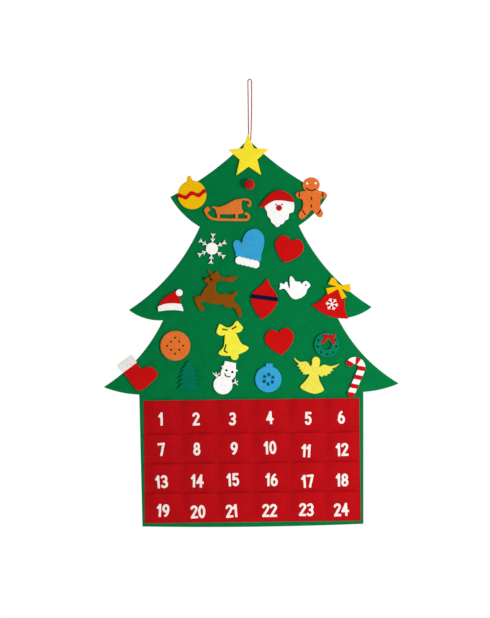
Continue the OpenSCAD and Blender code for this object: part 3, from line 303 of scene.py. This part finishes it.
def felt(name, dye, mottle=0.1, fleck=0.3):
    """Craft felt in one dye."""
    return dyed_finish(name, felt_fibres, dye, {"Mottle": mottle, "Fleck": fleck},
                       bump_mm=0.4, sheen=0.01, gloss=0.03)


def cut_edges(node, facing=0.7, on_line=1.5e-5, least_area=1e-7):
    """The loops round a CAD node's front face as arrays of (x, z), each with the felt on its left."""
    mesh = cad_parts[node].data
    mesh.calc_loop_triangles()
    places, sides = {}, Counter()
    for tri in mesh.loop_triangles:
        if tri.normal.y < -facing:
            corners = [tuple(round(mesh.vertices[v].co[axis], 5) for axis in (0, 2)) for v in tri.vertices]
            ring = [places.setdefault(corner, len(places)) for corner in corners]
            if len(set(ring)) == 3:
                sides.update((ring[i], ring[(i + 1) % 3]) for i in range(3))
    spots = np.array(list(places))
    # Sides with felt on one side alone, split where another of them ends on the way
    single = sides - Counter({side[::-1]: count for side, count in sides.items()})
    ends = np.unique(list(single))
    runs = Counter()
    for a, b in single.elements():
        run, gap = spots[b] - spots[a], spots[ends] - spots[a]
        along = gap @ run / (run @ run)
        off = np.abs(gap[:, 0] * run[1] - gap[:, 1] * run[0]) / np.linalg.norm(run)
        between = (off < on_line) & (along > 0) & (along < 1) & (ends != a) & (ends != b)
        chain = [a, *ends[between][np.argsort(along[between])], b]
        runs.update(zip(chain, chain[1:]))
    # Runs that have no opposite are the border, which is walked loop by loop
    border = {}
    for a, b in (runs - Counter({run[::-1]: count for run, count in runs.items()})).elements():
        border.setdefault(a, []).append(b)
    loops = []
    while border:
        start = spot = next(iter(border))
        before, loop = None, []
        while True:
            loop.append(tuple(spots[spot]))
            exits = border[spot]
            if before is not None:
                run = Vector(spots[spot] - spots[before])
                exits.sort(key=lambda v: run.angle_signed(Vector(spots[v] - spots[spot]), 0), reverse=True)
            before, spot = spot, exits.pop()
            if not exits:
                del border[before]
            if spot == start:
                break
        loop = np.array(loop)
        after = np.roll(loop, -1, 0)
        if abs((loop[:, 0] * after[:, 1] - loop[:, 1] * after[:, 0]).sum() / 2) > least_area:
            loops.append(loop)
    return loops


def evened(loop, step, corner_degrees=32, least_gap=5e-5, long_run=3, least_step=0.45):
    """A cut edge with points about one step apart, curved between its corners."""
    keep = np.linalg.norm(loop - np.roll(loop, 1, 0), axis=1) > least_gap
    loop = loop[keep]
    count = len(loop)
    run = np.roll(loop, -1, 0) - loop
    far = np.linalg.norm(run, axis=1)
    unit = run / far[:, None]
    # The direction in which the edge arrives at each point and leaves it
    leave, arrive = [], []
    for i in range(count):
        before, after = unit[i - 1], unit[i]
        bend = math.degrees(math.acos(max(-1.0, min(1.0, float(before @ after)))))
        if bend > corner_degrees:
            arrive.append(before)
            leave.append(after)
            continue
        if far[i - 1] > long_run * far[i]:
            tangent = before
        elif far[i] > long_run * far[i - 1]:
            tangent = after
        else:
            tangent = before * far[i] + after * far[i - 1]
            tangent = tangent / np.linalg.norm(tangent)
        arrive.append(tangent)
        leave.append(tangent)
    points = []
    for i in range(count):
        p, q = loop[i], loop[(i + 1) % count]
        m, n = leave[i] * far[i], arrive[(i + 1) % count] * far[i]
        parts = max(1, math.ceil(far[i] / step))
        for k in range(parts):
            t = k / parts
            points.append((2 * t**3 - 3 * t**2 + 1) * p + (t**3 - 2 * t**2 + t) * m
                          + (3 * t**2 - 2 * t**3) * q + (t**3 - t**2) * n)
    points = np.array(points)
    thin = [0]
    for i in range(1, len(points)):
        if np.linalg.norm(points[i] - points[thin[-1]]) > least_step * step:
            thin.append(i)
    return points[thin]


pairs_at_once = 2000000


def edge_distance(points, loops):
    """Each point's distance to the nearest cut edge."""
    a = np.concatenate(loops)
    run = np.concatenate([np.roll(loop, -1, 0) - loop for loop in loops])
    length2 = np.maximum((run**2).sum(1), 1e-14)
    found = []
    for part in np.array_split(points, max(1, len(points) * len(a) // pairs_at_once)):
        gap = part[:, None, :] - a[None]
        t = np.clip((gap * run[None]).sum(2) / length2, 0, 1)
        found.append(np.sqrt(((gap - t[..., None] * run[None]) ** 2).sum(2).min(1)))
    return np.concatenate(found)


def on_felt(points, loops):
    """Which points lie inside the cut."""
    a = np.concatenate(loops)
    b = np.concatenate([np.roll(loop, -1, 0) for loop in loops])
    rise = np.where(b[:, 1] == a[:, 1], 1e-12, b[:, 1] - a[:, 1])
    found = []
    for part in np.array_split(points, max(1, len(points) * len(a) // pairs_at_once)):
        x, z = part[:, :1], part[:, 1:]
        crossed = (a[None, :, 1] > z) != (b[None, :, 1] > z)
        where = a[None, :, 0] + (z - a[None, :, 1]) / rise[None] * (b[:, 0] - a[:, 0])[None]
        found.append(((crossed & (x < where)).sum(1) % 2) == 1)
    return np.concatenate(found)


def roundover(distance, radius):
    """How far a rounded edge falls away at a distance in from the cut."""
    return radius - np.sqrt(radius**2 - np.clip(radius - distance, 0, radius) ** 2)


def waver(spots, scale, seed):
    """Smooth noise from -1 to 1 at arrays of (x, z)."""
    return np.array([noise.noise(Vector((x * scale, seed, z * scale))) for x, z in spots])


# Rings of points follow the cut at shares of its rounded edge, and a net of points fills the rest.
# The rear edge is rounded less, within the thickness that the front edge leaves.
edge_rings = (0.12, 0.42, 1.0)
least_inset = 0.9
net_margin = 0.35
merge_gap = 2e-6
rear_edge = 0.5
rear_room = 0.8
fray_scale = 420
wave_scale = 55


def cut_sheet(loops, back, front, step, grid, edge, wave=0.00012, fray=0.0001):
    """Points and faces of a closed felt sheet with softly rounded, slightly frayed cut edges.
    back and front give the sheet's depth, as y, at arrays of (x, z)."""
    cut = []
    for loop in loops:
        loop = evened(loop, step)
        run = np.roll(loop, -1, 0) - np.roll(loop, 1, 0)
        inward = np.stack([-run[:, 1], run[:, 0]], 1) / np.linalg.norm(run, axis=1)[:, None]
        shake = waver(loop, fray_scale, seed=3.1)
        cut.append((loop + fray * (0.5 + 0.5 * shake[:, None]) * inward, inward))
    loops = [loop for loop, _ in cut]
    outline = np.concatenate(loops)
    ties, start = [], 0
    for loop in loops:
        ties += [(start + i, start + (i + 1) % len(loop)) for i in range(len(loop))]
        start += len(loop)
    # Points: the frayed cut, the rings inside it and the net
    points = [outline]
    for share in edge_rings:
        inset = np.concatenate([loop + share * edge * inward for loop, inward in cut])
        points.append(inset[edge_distance(inset, loops) > least_inset * share * edge])
    low, high = outline.min(0), outline.max(0)
    net = []
    for i, z in enumerate(np.arange(low[1], high[1], grid * math.sqrt(3) / 2)):
        net += [(x, z) for x in np.arange(low[0] + (i % 2) * grid / 2, high[0], grid)]
    net = np.array(net)
    net = net[on_felt(net, loops)]
    if len(net):
        points.append(net[edge_distance(net, loops) > edge + net_margin * grid])
    points = np.concatenate(points)
    points = points[np.concatenate([np.ones(len(outline), bool), on_felt(points[len(outline):], loops)])]
    # Triangles that lie on the felt, all turned the same way
    points = [Vector(p) for p in points]
    spots, _, tris, origin, _, _ = geometry.delaunay_2d_cdt(points, ties, [], 0, merge_gap)
    spots = np.array([tuple(p) for p in spots])
    tris = np.array([t for t in tris if len(t) == 3])
    tris = tris[on_felt(spots[tris].mean(1), loops)]
    a, b, c = spots[tris[:, 0]], spots[tris[:, 1]], spots[tris[:, 2]]
    area = (b[:, 0] - a[:, 0]) * (c[:, 1] - a[:, 1]) - (b[:, 1] - a[:, 1]) * (c[:, 0] - a[:, 0])
    tris = np.where((area < 0)[:, None], tris[:, ::-1], tris)
    place = {k: i for i, ids in enumerate(origin) for k in ids}
    # Depths of the front and the rear, and the rim between them
    away = edge_distance(spots, loops)
    ripple = waver(spots, wave_scale, seed=7.7) * wave
    ahead = front(spots) + roundover(away, edge) + ripple * np.clip(away / grid, 0, 1)
    thickness = (back(spots) - front(spots)).min()
    behind = back(spots) - roundover(away, min(rear_edge * edge, rear_room * (thickness - edge)))
    count = len(spots)
    verts = [(x, y, z) for (x, z), y in zip(spots, ahead)] + [(x, y, z) for (x, z), y in zip(spots, behind)]
    faces = [tuple(t) for t in tris] + [tuple(count + t[::-1]) for t in tris]
    rim = [(place[i], place[j]) for i, j in ties if place[i] != place[j]]
    faces += [(i, count + i, count + j, j) for i, j in rim]
    return verts, [tuple(int(v) for v in face) for face in faces]


def flat(depth):
    """A level face at one depth."""
    return lambda spots: np.full(len(spots), depth)


def felt_cut(node, body, material, edge=0.0007, step=0.0011, grid=0.0045, wave=0.00012):
    """A flat felt piece cut to a CAD node's outline and as thick as the node."""
    low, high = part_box(node)
    verts, faces = cut_sheet(cut_edges(node), flat(high.y), flat(low.y), step, grid, edge, wave)
    return new_piece(node + "_felt", verts, faces, [material], body, [node])


green_felt = felt("green_felt", display(1, 113, 56), mottle=0.07)
backing = felt_cut("backing_sheet", "tree", green_felt,
                   edge=0.0008, step=0.0025, grid=0.009, wave=0.0003)

# Pockets: four strips of thin red felt, each sewn down along seven uprights and along its foot.
# The felt between two seams is a little full, so each mouth stands open and the front swells.
backing_t = 0.003
pocket_t = 0.0015
pocket_w = 0.09
first_row_h = 0.085
pocket_h = 0.074
pocket_cols = 6
pocket_rows = 4
panel_w = pocket_cols * pocket_w
cord_offset = 0.0055
panel_left = -panel_w / 2 - cord_offset
panel_z = -0.799
pocket_flat_w = 0.036
mouth_depth = 0.005
hem_h = 0.004
lap_d = 0.0017
lap_fade = 0.012
seam_land = 0.0016
pocket_full = 1.02
pocket_vary = 0.02
pucker_d = 0.0001
pucker_pitch = 0.0056
pucker_start = 0.0012
pucker_reach = 0.004
pucker_fade = 0.006
pucker_top = 0.018
pucker_foot = 0.004


def mouth_z(row):
    """Height of a row's mouths."""
    return panel_z - (first_row_h + (row - 1) * pocket_h if row else 0)


def fall(row):
    """Length of a pocket's front from its mouth to its hem."""
    height = pocket_h if row else first_row_h
    return height if row < pocket_rows - 1 else height - hem_h


def strip_depth(row, spots):
    """How far a strip's back stands off the wall plane."""
    across = (spots[:, 0] - panel_left) / pocket_w
    pocket = np.clip(np.floor(across), 0, pocket_cols - 1)
    u = across - pocket
    down = mouth_z(row) - spots[:, 1]
    seam = np.minimum(u, 1 - u) * pocket_w
    rise = np.clip((seam - seam_land) / ((pocket_w - pocket_flat_w) / 2 - seam_land), 0, 1)
    swell = rise**2 * (3 - 2 * rise)
    fullness = pocket_full + pocket_vary * np.sin(2.4 * pocket + 1.7 * row)
    drop = np.clip(1 - down / fall(row), 0, 1)
    lap = lap_d * np.clip(1 - (down - hem_h) / lap_fade, 0, 1) if row else 0.0
    pucker = pucker_d * np.sin(down * 2 * math.pi / pucker_pitch)
    pucker = pucker * np.exp(-seam / pucker_reach) * np.clip(seam / pucker_start, 0, 1)
    pucker = pucker * np.clip((down - pucker_top) / pucker_fade, 0, 1)
    pucker = pucker * np.clip((fall(row) - pucker_foot - down) / pucker_fade, 0, 1)
    return backing_t + lap + mouth_depth * drop * swell * fullness + pucker


def strip_face(row, extra):
    """A face of a strip, so far in front of its back."""
    return lambda spots: -strip_depth(row, spots) - extra


pocket_felt = felt("pocket_felt", display(176, 9, 16), mottle=0.06)
for row in range(pocket_rows):
    top, foot = mouth_z(row), mouth_z(row) - fall(row) - hem_h
    right = panel_left + panel_w
    border = np.array([(panel_left, foot), (right, foot), (right, top), (panel_left, top)])
    verts, faces = cut_sheet([border], strip_face(row, 0), strip_face(row, pocket_t),
                             step=0.0018, grid=0.0028, edge=0.0005)
    strip = new_piece("pocket_strip_%d" % (row + 1), verts, faces, [pocket_felt], "tree",
                      ["pocket_row_%d" % (row + 1)])

# Numerals: 1 to 24 in white felt, cut with a broad stroke and glued to the pocket fronts.
# They bend with the fronts that they are glued to.
numeral_t = 0.0012
glue_gap = 0.00003
white_felt = felt("white_felt", display(252, 250, 247), mottle=0.02, fleck=0.2)
# The numerals' felt is white with a warm pink tint painted in: a painted reflection of the red pocket felt
# round them.
numeral_felt_painted_red_bounce = felt("numeral_felt_painted_red_bounce", display(248, 234, 226), mottle=0.03, fleck=0.2)
for row in range(pocket_rows):
    node = "numerals_row_%d" % (row + 1)
    verts, faces = cut_sheet(cut_edges(node), strip_face(row, pocket_t + glue_gap),
                             strip_face(row, pocket_t + glue_gap + numeral_t),
                             step=0.0009, grid=0.003, edge=0.0005)
    new_piece(node + "_felt", verts, faces, [numeral_felt_painted_red_bounce], "tree", [node])

# Seam thread: red polyester in straight running stitches down every seam and along the panel's foot.
# Each stitch rises a little in its middle and dips into the felt at its ends, on the front and the rear.
stitch_l = 0.0038
stitch_gap = 0.0017
stitch_r = 0.00036
stitch_rise = 0.0004
stitch_start = 0.1
stitch_taper = ((0, 0.5), (0.12, 0.85), (0.35, 1), (0.65, 1), (0.88, 0.85), (1, 0.5))
thread_inset = 0.0008
hem_inset = 0.003


def add_stitches(verts, faces, start, end, depth_at, out=-1):
    """A run of stitches from start to end, given as (x, z), on a face that looks along out times +Y."""
    run = end - start
    count = int(np.linalg.norm(run) // (stitch_l + stitch_gap))
    for i in range(count):
        line = []
        for t, _ in stitch_taper:
            spot = start + run * (i + stitch_start + t * stitch_l / (stitch_l + stitch_gap)) / count
            y = depth_at(spot[None])[0] - out * (stitch_r - stitch_rise * math.sin(math.pi * t))
            line.append(Vector((spot[0], y, spot[1])))
        add_strand(verts, faces, line, [stitch_r * share for _, share in stitch_taper], sides=6)


verts, faces = [], []
for row in range(pocket_rows):
    for col in range(pocket_cols + 1):
        x = panel_left + col * pocket_w + {0: thread_inset, pocket_cols: -thread_inset}.get(col, 0)
        top = mouth_z(row) - hem_h - lap_fade
        seam = np.array([x, top]), np.array([x, mouth_z(row) - fall(row)])
        add_stitches(verts, faces, *seam, strip_face(row, pocket_t))
        add_stitches(verts, faces, *seam, flat(0.0), out=1)
foot = mouth_z(pocket_rows - 1) - fall(pocket_rows - 1) - hem_h / 2
hem = np.array([panel_left + hem_inset, foot]), np.array([panel_left + panel_w - hem_inset, foot])
add_stitches(verts, faces, *hem, strip_face(pocket_rows - 1, pocket_t))
add_stitches(verts, faces, *hem, flat(0.0), out=1)
red_thread = yarn("red_thread", display(168, 12, 16), shade=0.2)
new_piece("seam_stitches", verts, faces, [red_thread], "tree", ["seam_thread"])

# Hook pads: twenty-four round patches of green nylon hook tape, glued to the backing.
# Each has a thin woven base and rows of small bent hooks that hold in the ornaments' felt.
tape_t = 0.001
hook_pitch = 0.0014
hook_r = 0.00017
hook_reach = 0.0007
hook_row = 0.87
hook_margin = 0.0012
hook_root = 0.9
hook_bend = ((0, 0), (0.1, 0.55), (0.45, 0.95), (0.85, 0.9), (1.0, 0.68))
hook_taper = (1.3, 1, 1, 0.9, 0.6)
pads = cut_edges("hook_pads")
pad_low, pad_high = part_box("hook_pads")
hook_h = pad_high.y - pad_low.y - tape_t
verts, faces = cut_sheet(pads, flat(-backing_t), flat(-backing_t - tape_t),
                         step=0.0012, grid=0.004, edge=0.0003)
for pad in pads:
    mid = pad.mean(0)
    radius = np.linalg.norm(pad - mid, axis=1).min() - hook_margin
    reach = int(radius / hook_pitch) + 1
    for i in range(-reach, reach + 1):
        for j in range(-reach, reach + 1):
            spot = mid + hook_pitch * np.array([i + (j % 2) / 2, j * hook_row])
            if np.linalg.norm(spot - mid) > radius:
                continue
            lean = hook_reach if j % 2 else -hook_reach
            root = -backing_t - tape_t * hook_root
            line = [Vector((spot[0] + lean * s, root - hook_h * h, spot[1])) for s, h in hook_bend]
            add_strand(verts, faces, line, [hook_r * share for share in hook_taper], sides=4)
hook_nylon = dyed_finish("hook_nylon", spun_yarn, display(24, 96, 56), {"Shade": 0.25},
                         bump_mm=0.1, sheen=0.0, gloss=0.4)
new_piece("hook_tape_pads", verts, faces, [hook_nylon], "tree", ["hook_pads"])

# Bar tack: white thread wrapped over the cord's two ends where they lie on the tree, behind the star.
# The wraps lie side by side and dip into the felt at both ends.
tack_w = 0.016
tack_h = 0.008
wraps = 9
wrap_r = tack_h / wraps / 2
wrap_sway = 0.0002
wrap_low = 0.0004
wrap_lift = 0.0014
wrap_span = 0.97
wrap_sunk = 0.6
wrap_points = 9
verts, faces = [], []
for i in range(wraps):
    z = cord_end_z - tack_h * (i + 0.5) / wraps
    line = []
    for t in np.linspace(0, 1, wrap_points):
        sway = wrap_sway * math.sin(5 * i + 4 * t)
        lift = wrap_low + wrap_lift * math.sin(math.pi * t) ** 0.5
        x = tack_w * (t - 0.5) * wrap_span - cord_draw / 2
        line.append(Vector((x, -backing_t - lift + wrap_r * wrap_sunk, z + sway)))
    add_strand(verts, faces, line, [wrap_r] * len(line), sides=7)
white_thread = yarn("white_thread", display(240, 236, 228), shade=0.15)
new_piece("bar_tack_wraps", verts, faces, [white_thread], "tree", ["cord_bar_tack"])

# Star: one piece of gold felt with five points, die-cut, at the very top of the tree.
# It hides the bar tack and grips its hook pad.
gold_felt = felt("gold_felt", display(255, 231, 45), mottle=0.04)
felt_cut("star_topper", "star", gold_felt)

# Pom-pom: a ball of red acrylic yarn ends, tied at its heart and trimmed round.
# Its back is flattened where it sits on its pad.
pom_low, pom_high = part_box("red_pompom")
pom_r = (pom_high.x - pom_low.x) / 2
pom_mid = Vector(((pom_low.x + pom_high.x) / 2, pom_low.y + pom_r, (pom_low.z + pom_high.z) / 2))
pom_ends = 1500
pom_root = 0.62
pom_bend = 0.84
pom_core = 0.78
pom_least = 0.001
pom_stray = 0.12
pom_trim = 0.94
pom_yarn_r = (0.00045, 0.00062, 0.00038)
draw = random.Random(11)
verts, faces = [], []
for i in range(pom_ends):
    z = 1 - 2 * (i + 0.5) / pom_ends
    a = i * math.pi * (3 - math.sqrt(5))
    ray = Vector((math.sqrt(1 - z * z) * math.cos(a), z, math.sqrt(1 - z * z) * math.sin(a)))
    stray = Vector((draw.uniform(-1, 1), draw.uniform(-1, 1), draw.uniform(-1, 1))) * pom_stray
    length = pom_r * draw.uniform(pom_trim, 1.0)
    line = [pom_mid + ray * pom_r * pom_root, pom_mid + (ray + 0.5 * stray).normalized() * length * pom_bend,
            pom_mid + (ray + stray).normalized() * length]
    line = [Vector((p.x, min(p.y, pom_high.y), p.z)) for p in line]
    if (line[2] - line[0]).length > pom_least:
        add_strand(verts, faces, line, pom_yarn_r, sides=5)
core_rings, core_spokes = 12, 20
core_r = pom_r * pom_core
first = len(verts)
for i in range(1, core_rings):
    for j in range(core_spokes):
        tilt, turn = math.pi * i / core_rings, 2 * math.pi * j / core_spokes
        ray = Vector((math.sin(tilt) * math.cos(turn), math.cos(tilt), math.sin(tilt) * math.sin(turn)))
        verts.append(pom_mid + ray * core_r)
rear, front = len(verts), len(verts) + 1
verts += [pom_mid + Vector((0, core_r, 0)), pom_mid - Vector((0, core_r, 0))]
last = first + (core_rings - 2) * core_spokes
for j in range(core_spokes):
    k = (j + 1) % core_spokes
    faces += [(rear, first + k, first + j), (last + j, last + k, front)]
    for ring in range(first, last, core_spokes):
        faces.append((ring + j, ring + k, ring + k + core_spokes, ring + j + core_spokes))
verts = [Vector((p.x, min(p.y, pom_high.y), p.z)) for p in verts]
red_yarn = yarn("red_yarn", display(222, 6, 12), shade=0.35)
pompom = new_piece("red_yarn_pompom", verts, faces, [red_yarn], "pompom", ["red_pompom"])

# Round bauble: an amber felt disc, die-cut with a short neck.
# A wavy band of thin red felt is glued across its middle.
amber_felt = felt("amber_felt", display(241, 187, 6), mottle=0.05)
red_felt = felt("red_felt", display(198, 11, 11), mottle=0.06)
felt_cut("yellow_bauble", "round_bauble", amber_felt)
felt_cut("yellow_bauble_band", "round_bauble", red_felt, edge=0.0005)

# Sleigh: one piece of orange felt that grips its hook pad.
# Its body, curled runner and scroll are die-cut in one outline.
orange_felt = felt("orange_felt", display(222, 115, 43), mottle=0.06)
felt_cut("sleigh", "sleigh", orange_felt, grid=0.004)

# Bearded head: a white felt head and beard with a red felt cap, a round red nose and two black eyes glued on.
# The face is a plain toy face of two dots and a ball.
black_felt = felt("black_felt", display(26, 22, 24), mottle=0.15)
felt_cut("santa_head", "santa", white_felt, edge=0.0009)
felt_cut("santa_cap", "santa", red_felt, edge=0.0006)
felt_cut("santa_nose", "santa", red_felt, edge=0.0012, step=0.0008, grid=0.0025)
felt_cut("santa_eyes", "santa", black_felt, edge=0.0007, step=0.0005, grid=0.0015)

# Gingerbread figure: ginger felt, die-cut in one piece.
# White felt eyes and dark brown felt lines for its mouth, cuffs and buttons are glued on.
ginger_felt = felt("ginger_felt", display(226, 111, 42), mottle=0.07)
dark_brown_felt = felt("dark_brown_felt", display(52, 20, 6), mottle=0.1)
felt_cut("gingerbread_man", "gingerbread", ginger_felt)
felt_cut("gingerbread_eyes", "gingerbread", white_felt, edge=0.0006, step=0.0006, grid=0.002)
felt_cut("gingerbread_stitches", "gingerbread", dark_brown_felt,
         edge=0.0006, step=0.0006, grid=0.002)

# Snowflake: white felt, die-cut in one piece.
# Six stems with twigs stand on a round middle, which grips its hook pad.
felt_cut("snowflake", "snowflake", white_felt, edge=0.0006, step=0.0008, grid=0.003)

# Mitten: sky-blue felt, die-cut with its thumb.
# A thick scalloped cuff of white felt is glued across its wrist.
blue_felt = felt("blue_felt", display(51, 157, 208), mottle=0.06)
felt_cut("mitten", "mitten", blue_felt)
felt_cut("mitten_cuff", "mitten", white_felt, edge=0.001, grid=0.003)

# Hearts: two plain red felt hearts, each die-cut in one piece.
# One hangs on the middle tier and one on the bottom tier.
felt_cut("upper_heart", "heart_upper", red_felt)
felt_cut("lower_heart", "heart_lower", red_felt)

# Reindeer: brown felt, die-cut in one leaping outline with its antlers.
# A black felt eye and nose are glued on.
brown_felt = felt("brown_felt", display(132, 70, 6), mottle=0.1)
felt_cut("reindeer", "reindeer", brown_felt)
felt_cut("reindeer_face", "reindeer", black_felt, edge=0.0007, step=0.0005, grid=0.0015)

# Hat: a red felt cone, die-cut with its tip flopped to one side.
# A thick white felt band and a round white felt tip are glued on.
felt_cut("santa_hat", "hat", red_felt)
felt_cut("hat_band", "hat", white_felt, edge=0.001, grid=0.003)
felt_cut("hat_pom", "hat", white_felt, edge=0.0013, step=0.0008, grid=0.0025)

# Drop-shaped bauble: red felt, die-cut in one piece.
# A band of thin navy felt is glued across its widest part.
navy_felt = felt("navy_felt", display(8, 14, 50), mottle=0.15)
felt_cut("red_bauble", "drop_bauble", red_felt)
felt_cut("red_bauble_band", "drop_bauble", navy_felt, edge=0.0005)

# Dove: white felt, die-cut in one piece with a raised wing.
# A small black felt eye is glued on.
felt_cut("dove", "dove", white_felt)
felt_cut("dove_eye", "dove", black_felt, edge=0.0007, step=0.0005, grid=0.0015)

# Red bell: red felt, die-cut in one piece.
# An amber felt ribbon bow is glued at its top and a white felt flake on its front.
felt_cut("red_bell", "bell_red", red_felt)
felt_cut("red_bell_bow", "bell_red", amber_felt, edge=0.0006)
felt_cut("red_bell_snowflake", "bell_red", white_felt, edge=0.0006, step=0.0008, grid=0.003)

# Cookie: a ginger felt disc, die-cut.
# Eight dark brown felt dots are glued to its front.
felt_cut("cookie", "cookie", ginger_felt)
felt_cut("cookie_dots", "cookie", dark_brown_felt, edge=0.0006, step=0.0005, grid=0.0015)

# Yellow bell: lemon felt, its bell, clapper and bow die-cut in one piece.
# Slits through the felt mark the bow and the bell.
lemon_felt = felt("lemon_felt", display(245, 234, 62), mottle=0.04)
felt_cut("yellow_bell", "bell_yellow", lemon_felt, grid=0.004)

# Wreath: a teal green felt ring, die-cut with punched holes.
# A red felt ribbon is glued at its top.
teal_felt = felt("teal_felt", display(4, 120, 85), mottle=0.08)
felt_cut("wreath", "wreath", teal_felt, grid=0.0035)
felt_cut("wreath_bow", "wreath", red_felt, edge=0.0006)

# Stocking: red felt, die-cut in one piece.
# A cream felt cuff is glued across its top.
cream_felt = felt("cream_felt", display(238, 236, 229), mottle=0.05)
felt_cut("stocking", "stocking", red_felt)
felt_cut("stocking_cuff", "stocking", cream_felt, edge=0.001, grid=0.003)

# Small fir: dark green felt with six ragged tiers, die-cut in one piece.
# The notches between its tiers are cut right through.
dark_green_felt = felt("dark_green_felt", display(0, 109, 76), mottle=0.08)
felt_cut("fir_tree", "fir", dark_green_felt, grid=0.0035)

# Snowman: white felt, its tall hat and small hands in one die-cut piece.
# Black felt eyes and a smile are glued on.
felt_cut("snowman", "snowman", white_felt, step=0.0009, grid=0.0035)
felt_cut("snowman_face", "snowman", black_felt, edge=0.0007, step=0.0006, grid=0.002)

# Blue bauble: sky-blue felt, die-cut with a square cap.
# Six flakes are punched right through it.
felt_cut("blue_bauble", "blue_bauble", blue_felt, edge=0.0005, step=0.0007, grid=0.003)

# Angel: one piece of pale yellow felt that grips its hook pad.
# Its wings and bell-shaped gown are die-cut in one outline.
pale_yellow_felt = felt("pale_yellow_felt", display(231, 220, 76), mottle=0.04)
felt_cut("angel", "angel", pale_yellow_felt, step=0.0009, grid=0.004)

# Candy cane: a white felt crook, die-cut in one piece.
# Stripes of thin red felt are glued across it.
felt_cut("candy_cane", "cane", white_felt)
felt_cut("candy_stripes", "cane", red_felt, edge=0.0005)

# Studio: a pale wall just behind the felt, a pale floor well below, a soft key light from the right
# and an even white surround. The wall shows from the front alone, so that the rear can be looked at.
wall_gap = 0.0015
floor_z = -1.75
room = 6.0


def stage_plane(name, corners, tone, glow, one_sided):
    """A plain pale plane that isn't part of the object."""
    mesh = bpy.data.meshes.new(name)
    mesh.from_pydata(corners, [], [(0, 1, 2, 3)])
    material = bpy.data.materials.new(name)
    material.use_nodes = True
    tree = material.node_tree
    shader = tree.nodes["Principled BSDF"]
    shader.inputs["Base Color"].default_value = (tone, tone, tone, 1)
    shader.inputs["Roughness"].default_value = 0.9
    shader.inputs["Specular IOR Level"].default_value = 0.0
    shader.inputs["Emission Color"].default_value = (1, 1, 1, 1)
    shader.inputs["Emission Strength"].default_value = glow
    if one_sided:
        seen = add_node(tree, "ShaderNodeLightPath").outputs["Is Camera Ray"]
        rear = add_node(tree, "ShaderNodeNewGeometry").outputs["Backfacing"]
        front = add_node(tree, "ShaderNodeMath", {0: seen, 1: rear}, operation="SUBTRACT", use_clamp=True)
        clear = add_node(tree, "ShaderNodeBsdfTransparent")
        mix = add_node(tree, "ShaderNodeMixShader",
                       {0: front.outputs[0], 1: clear.outputs[0], 2: shader.outputs[0]})
        tree.links.new(mix.outputs[0], tree.nodes["Material Output"].inputs["Surface"])
    mesh.materials.append(material)
    plane = bpy.data.objects.new(name, mesh)
    scene.collection.objects.link(plane)


stage_plane("wall", [(-room, wall_gap, floor_z), (room, wall_gap, floor_z), (room, wall_gap, room),
                     (-room, wall_gap, room)], tone=0.0, glow=1.0, one_sided=True)
stage_plane("floor", [(-room, -room, floor_z), (room, -room, floor_z), (room, room, floor_z),
                      (-room, room, floor_z)], tone=0.85, glow=0.0, one_sided=False)


def soft_light(name, place, target, size, watts):
    """A square soft light that faces a point."""
    data = bpy.data.lights.new(name, "AREA")
    data.size = size
    data.energy = watts
    light = bpy.data.objects.new(name, data)
    light.location = place
    light.rotation_mode = "QUATERNION"
    light.rotation_quaternion = (Vector(target) - Vector(place)).to_track_quat("-Z", "Y")
    scene.collection.objects.link(light)


soft_light("key", (1.3, -1.7, -0.8), target=(0, 0, -0.65), size=0.5, watts=32)
soft_light("rear_fill", (-1.8, 3.2, 0.6), target=(0, 0, -0.6), size=2.0, watts=60)
world = bpy.data.worlds.new("surround")
world.use_nodes = True
surround = world.node_tree.nodes["Background"]
surround.inputs["Color"].default_value = (1, 1, 1, 1)
surround.inputs["Strength"].default_value = 0.45
scene.world = world
scene.view_settings.view_transform = "Standard"
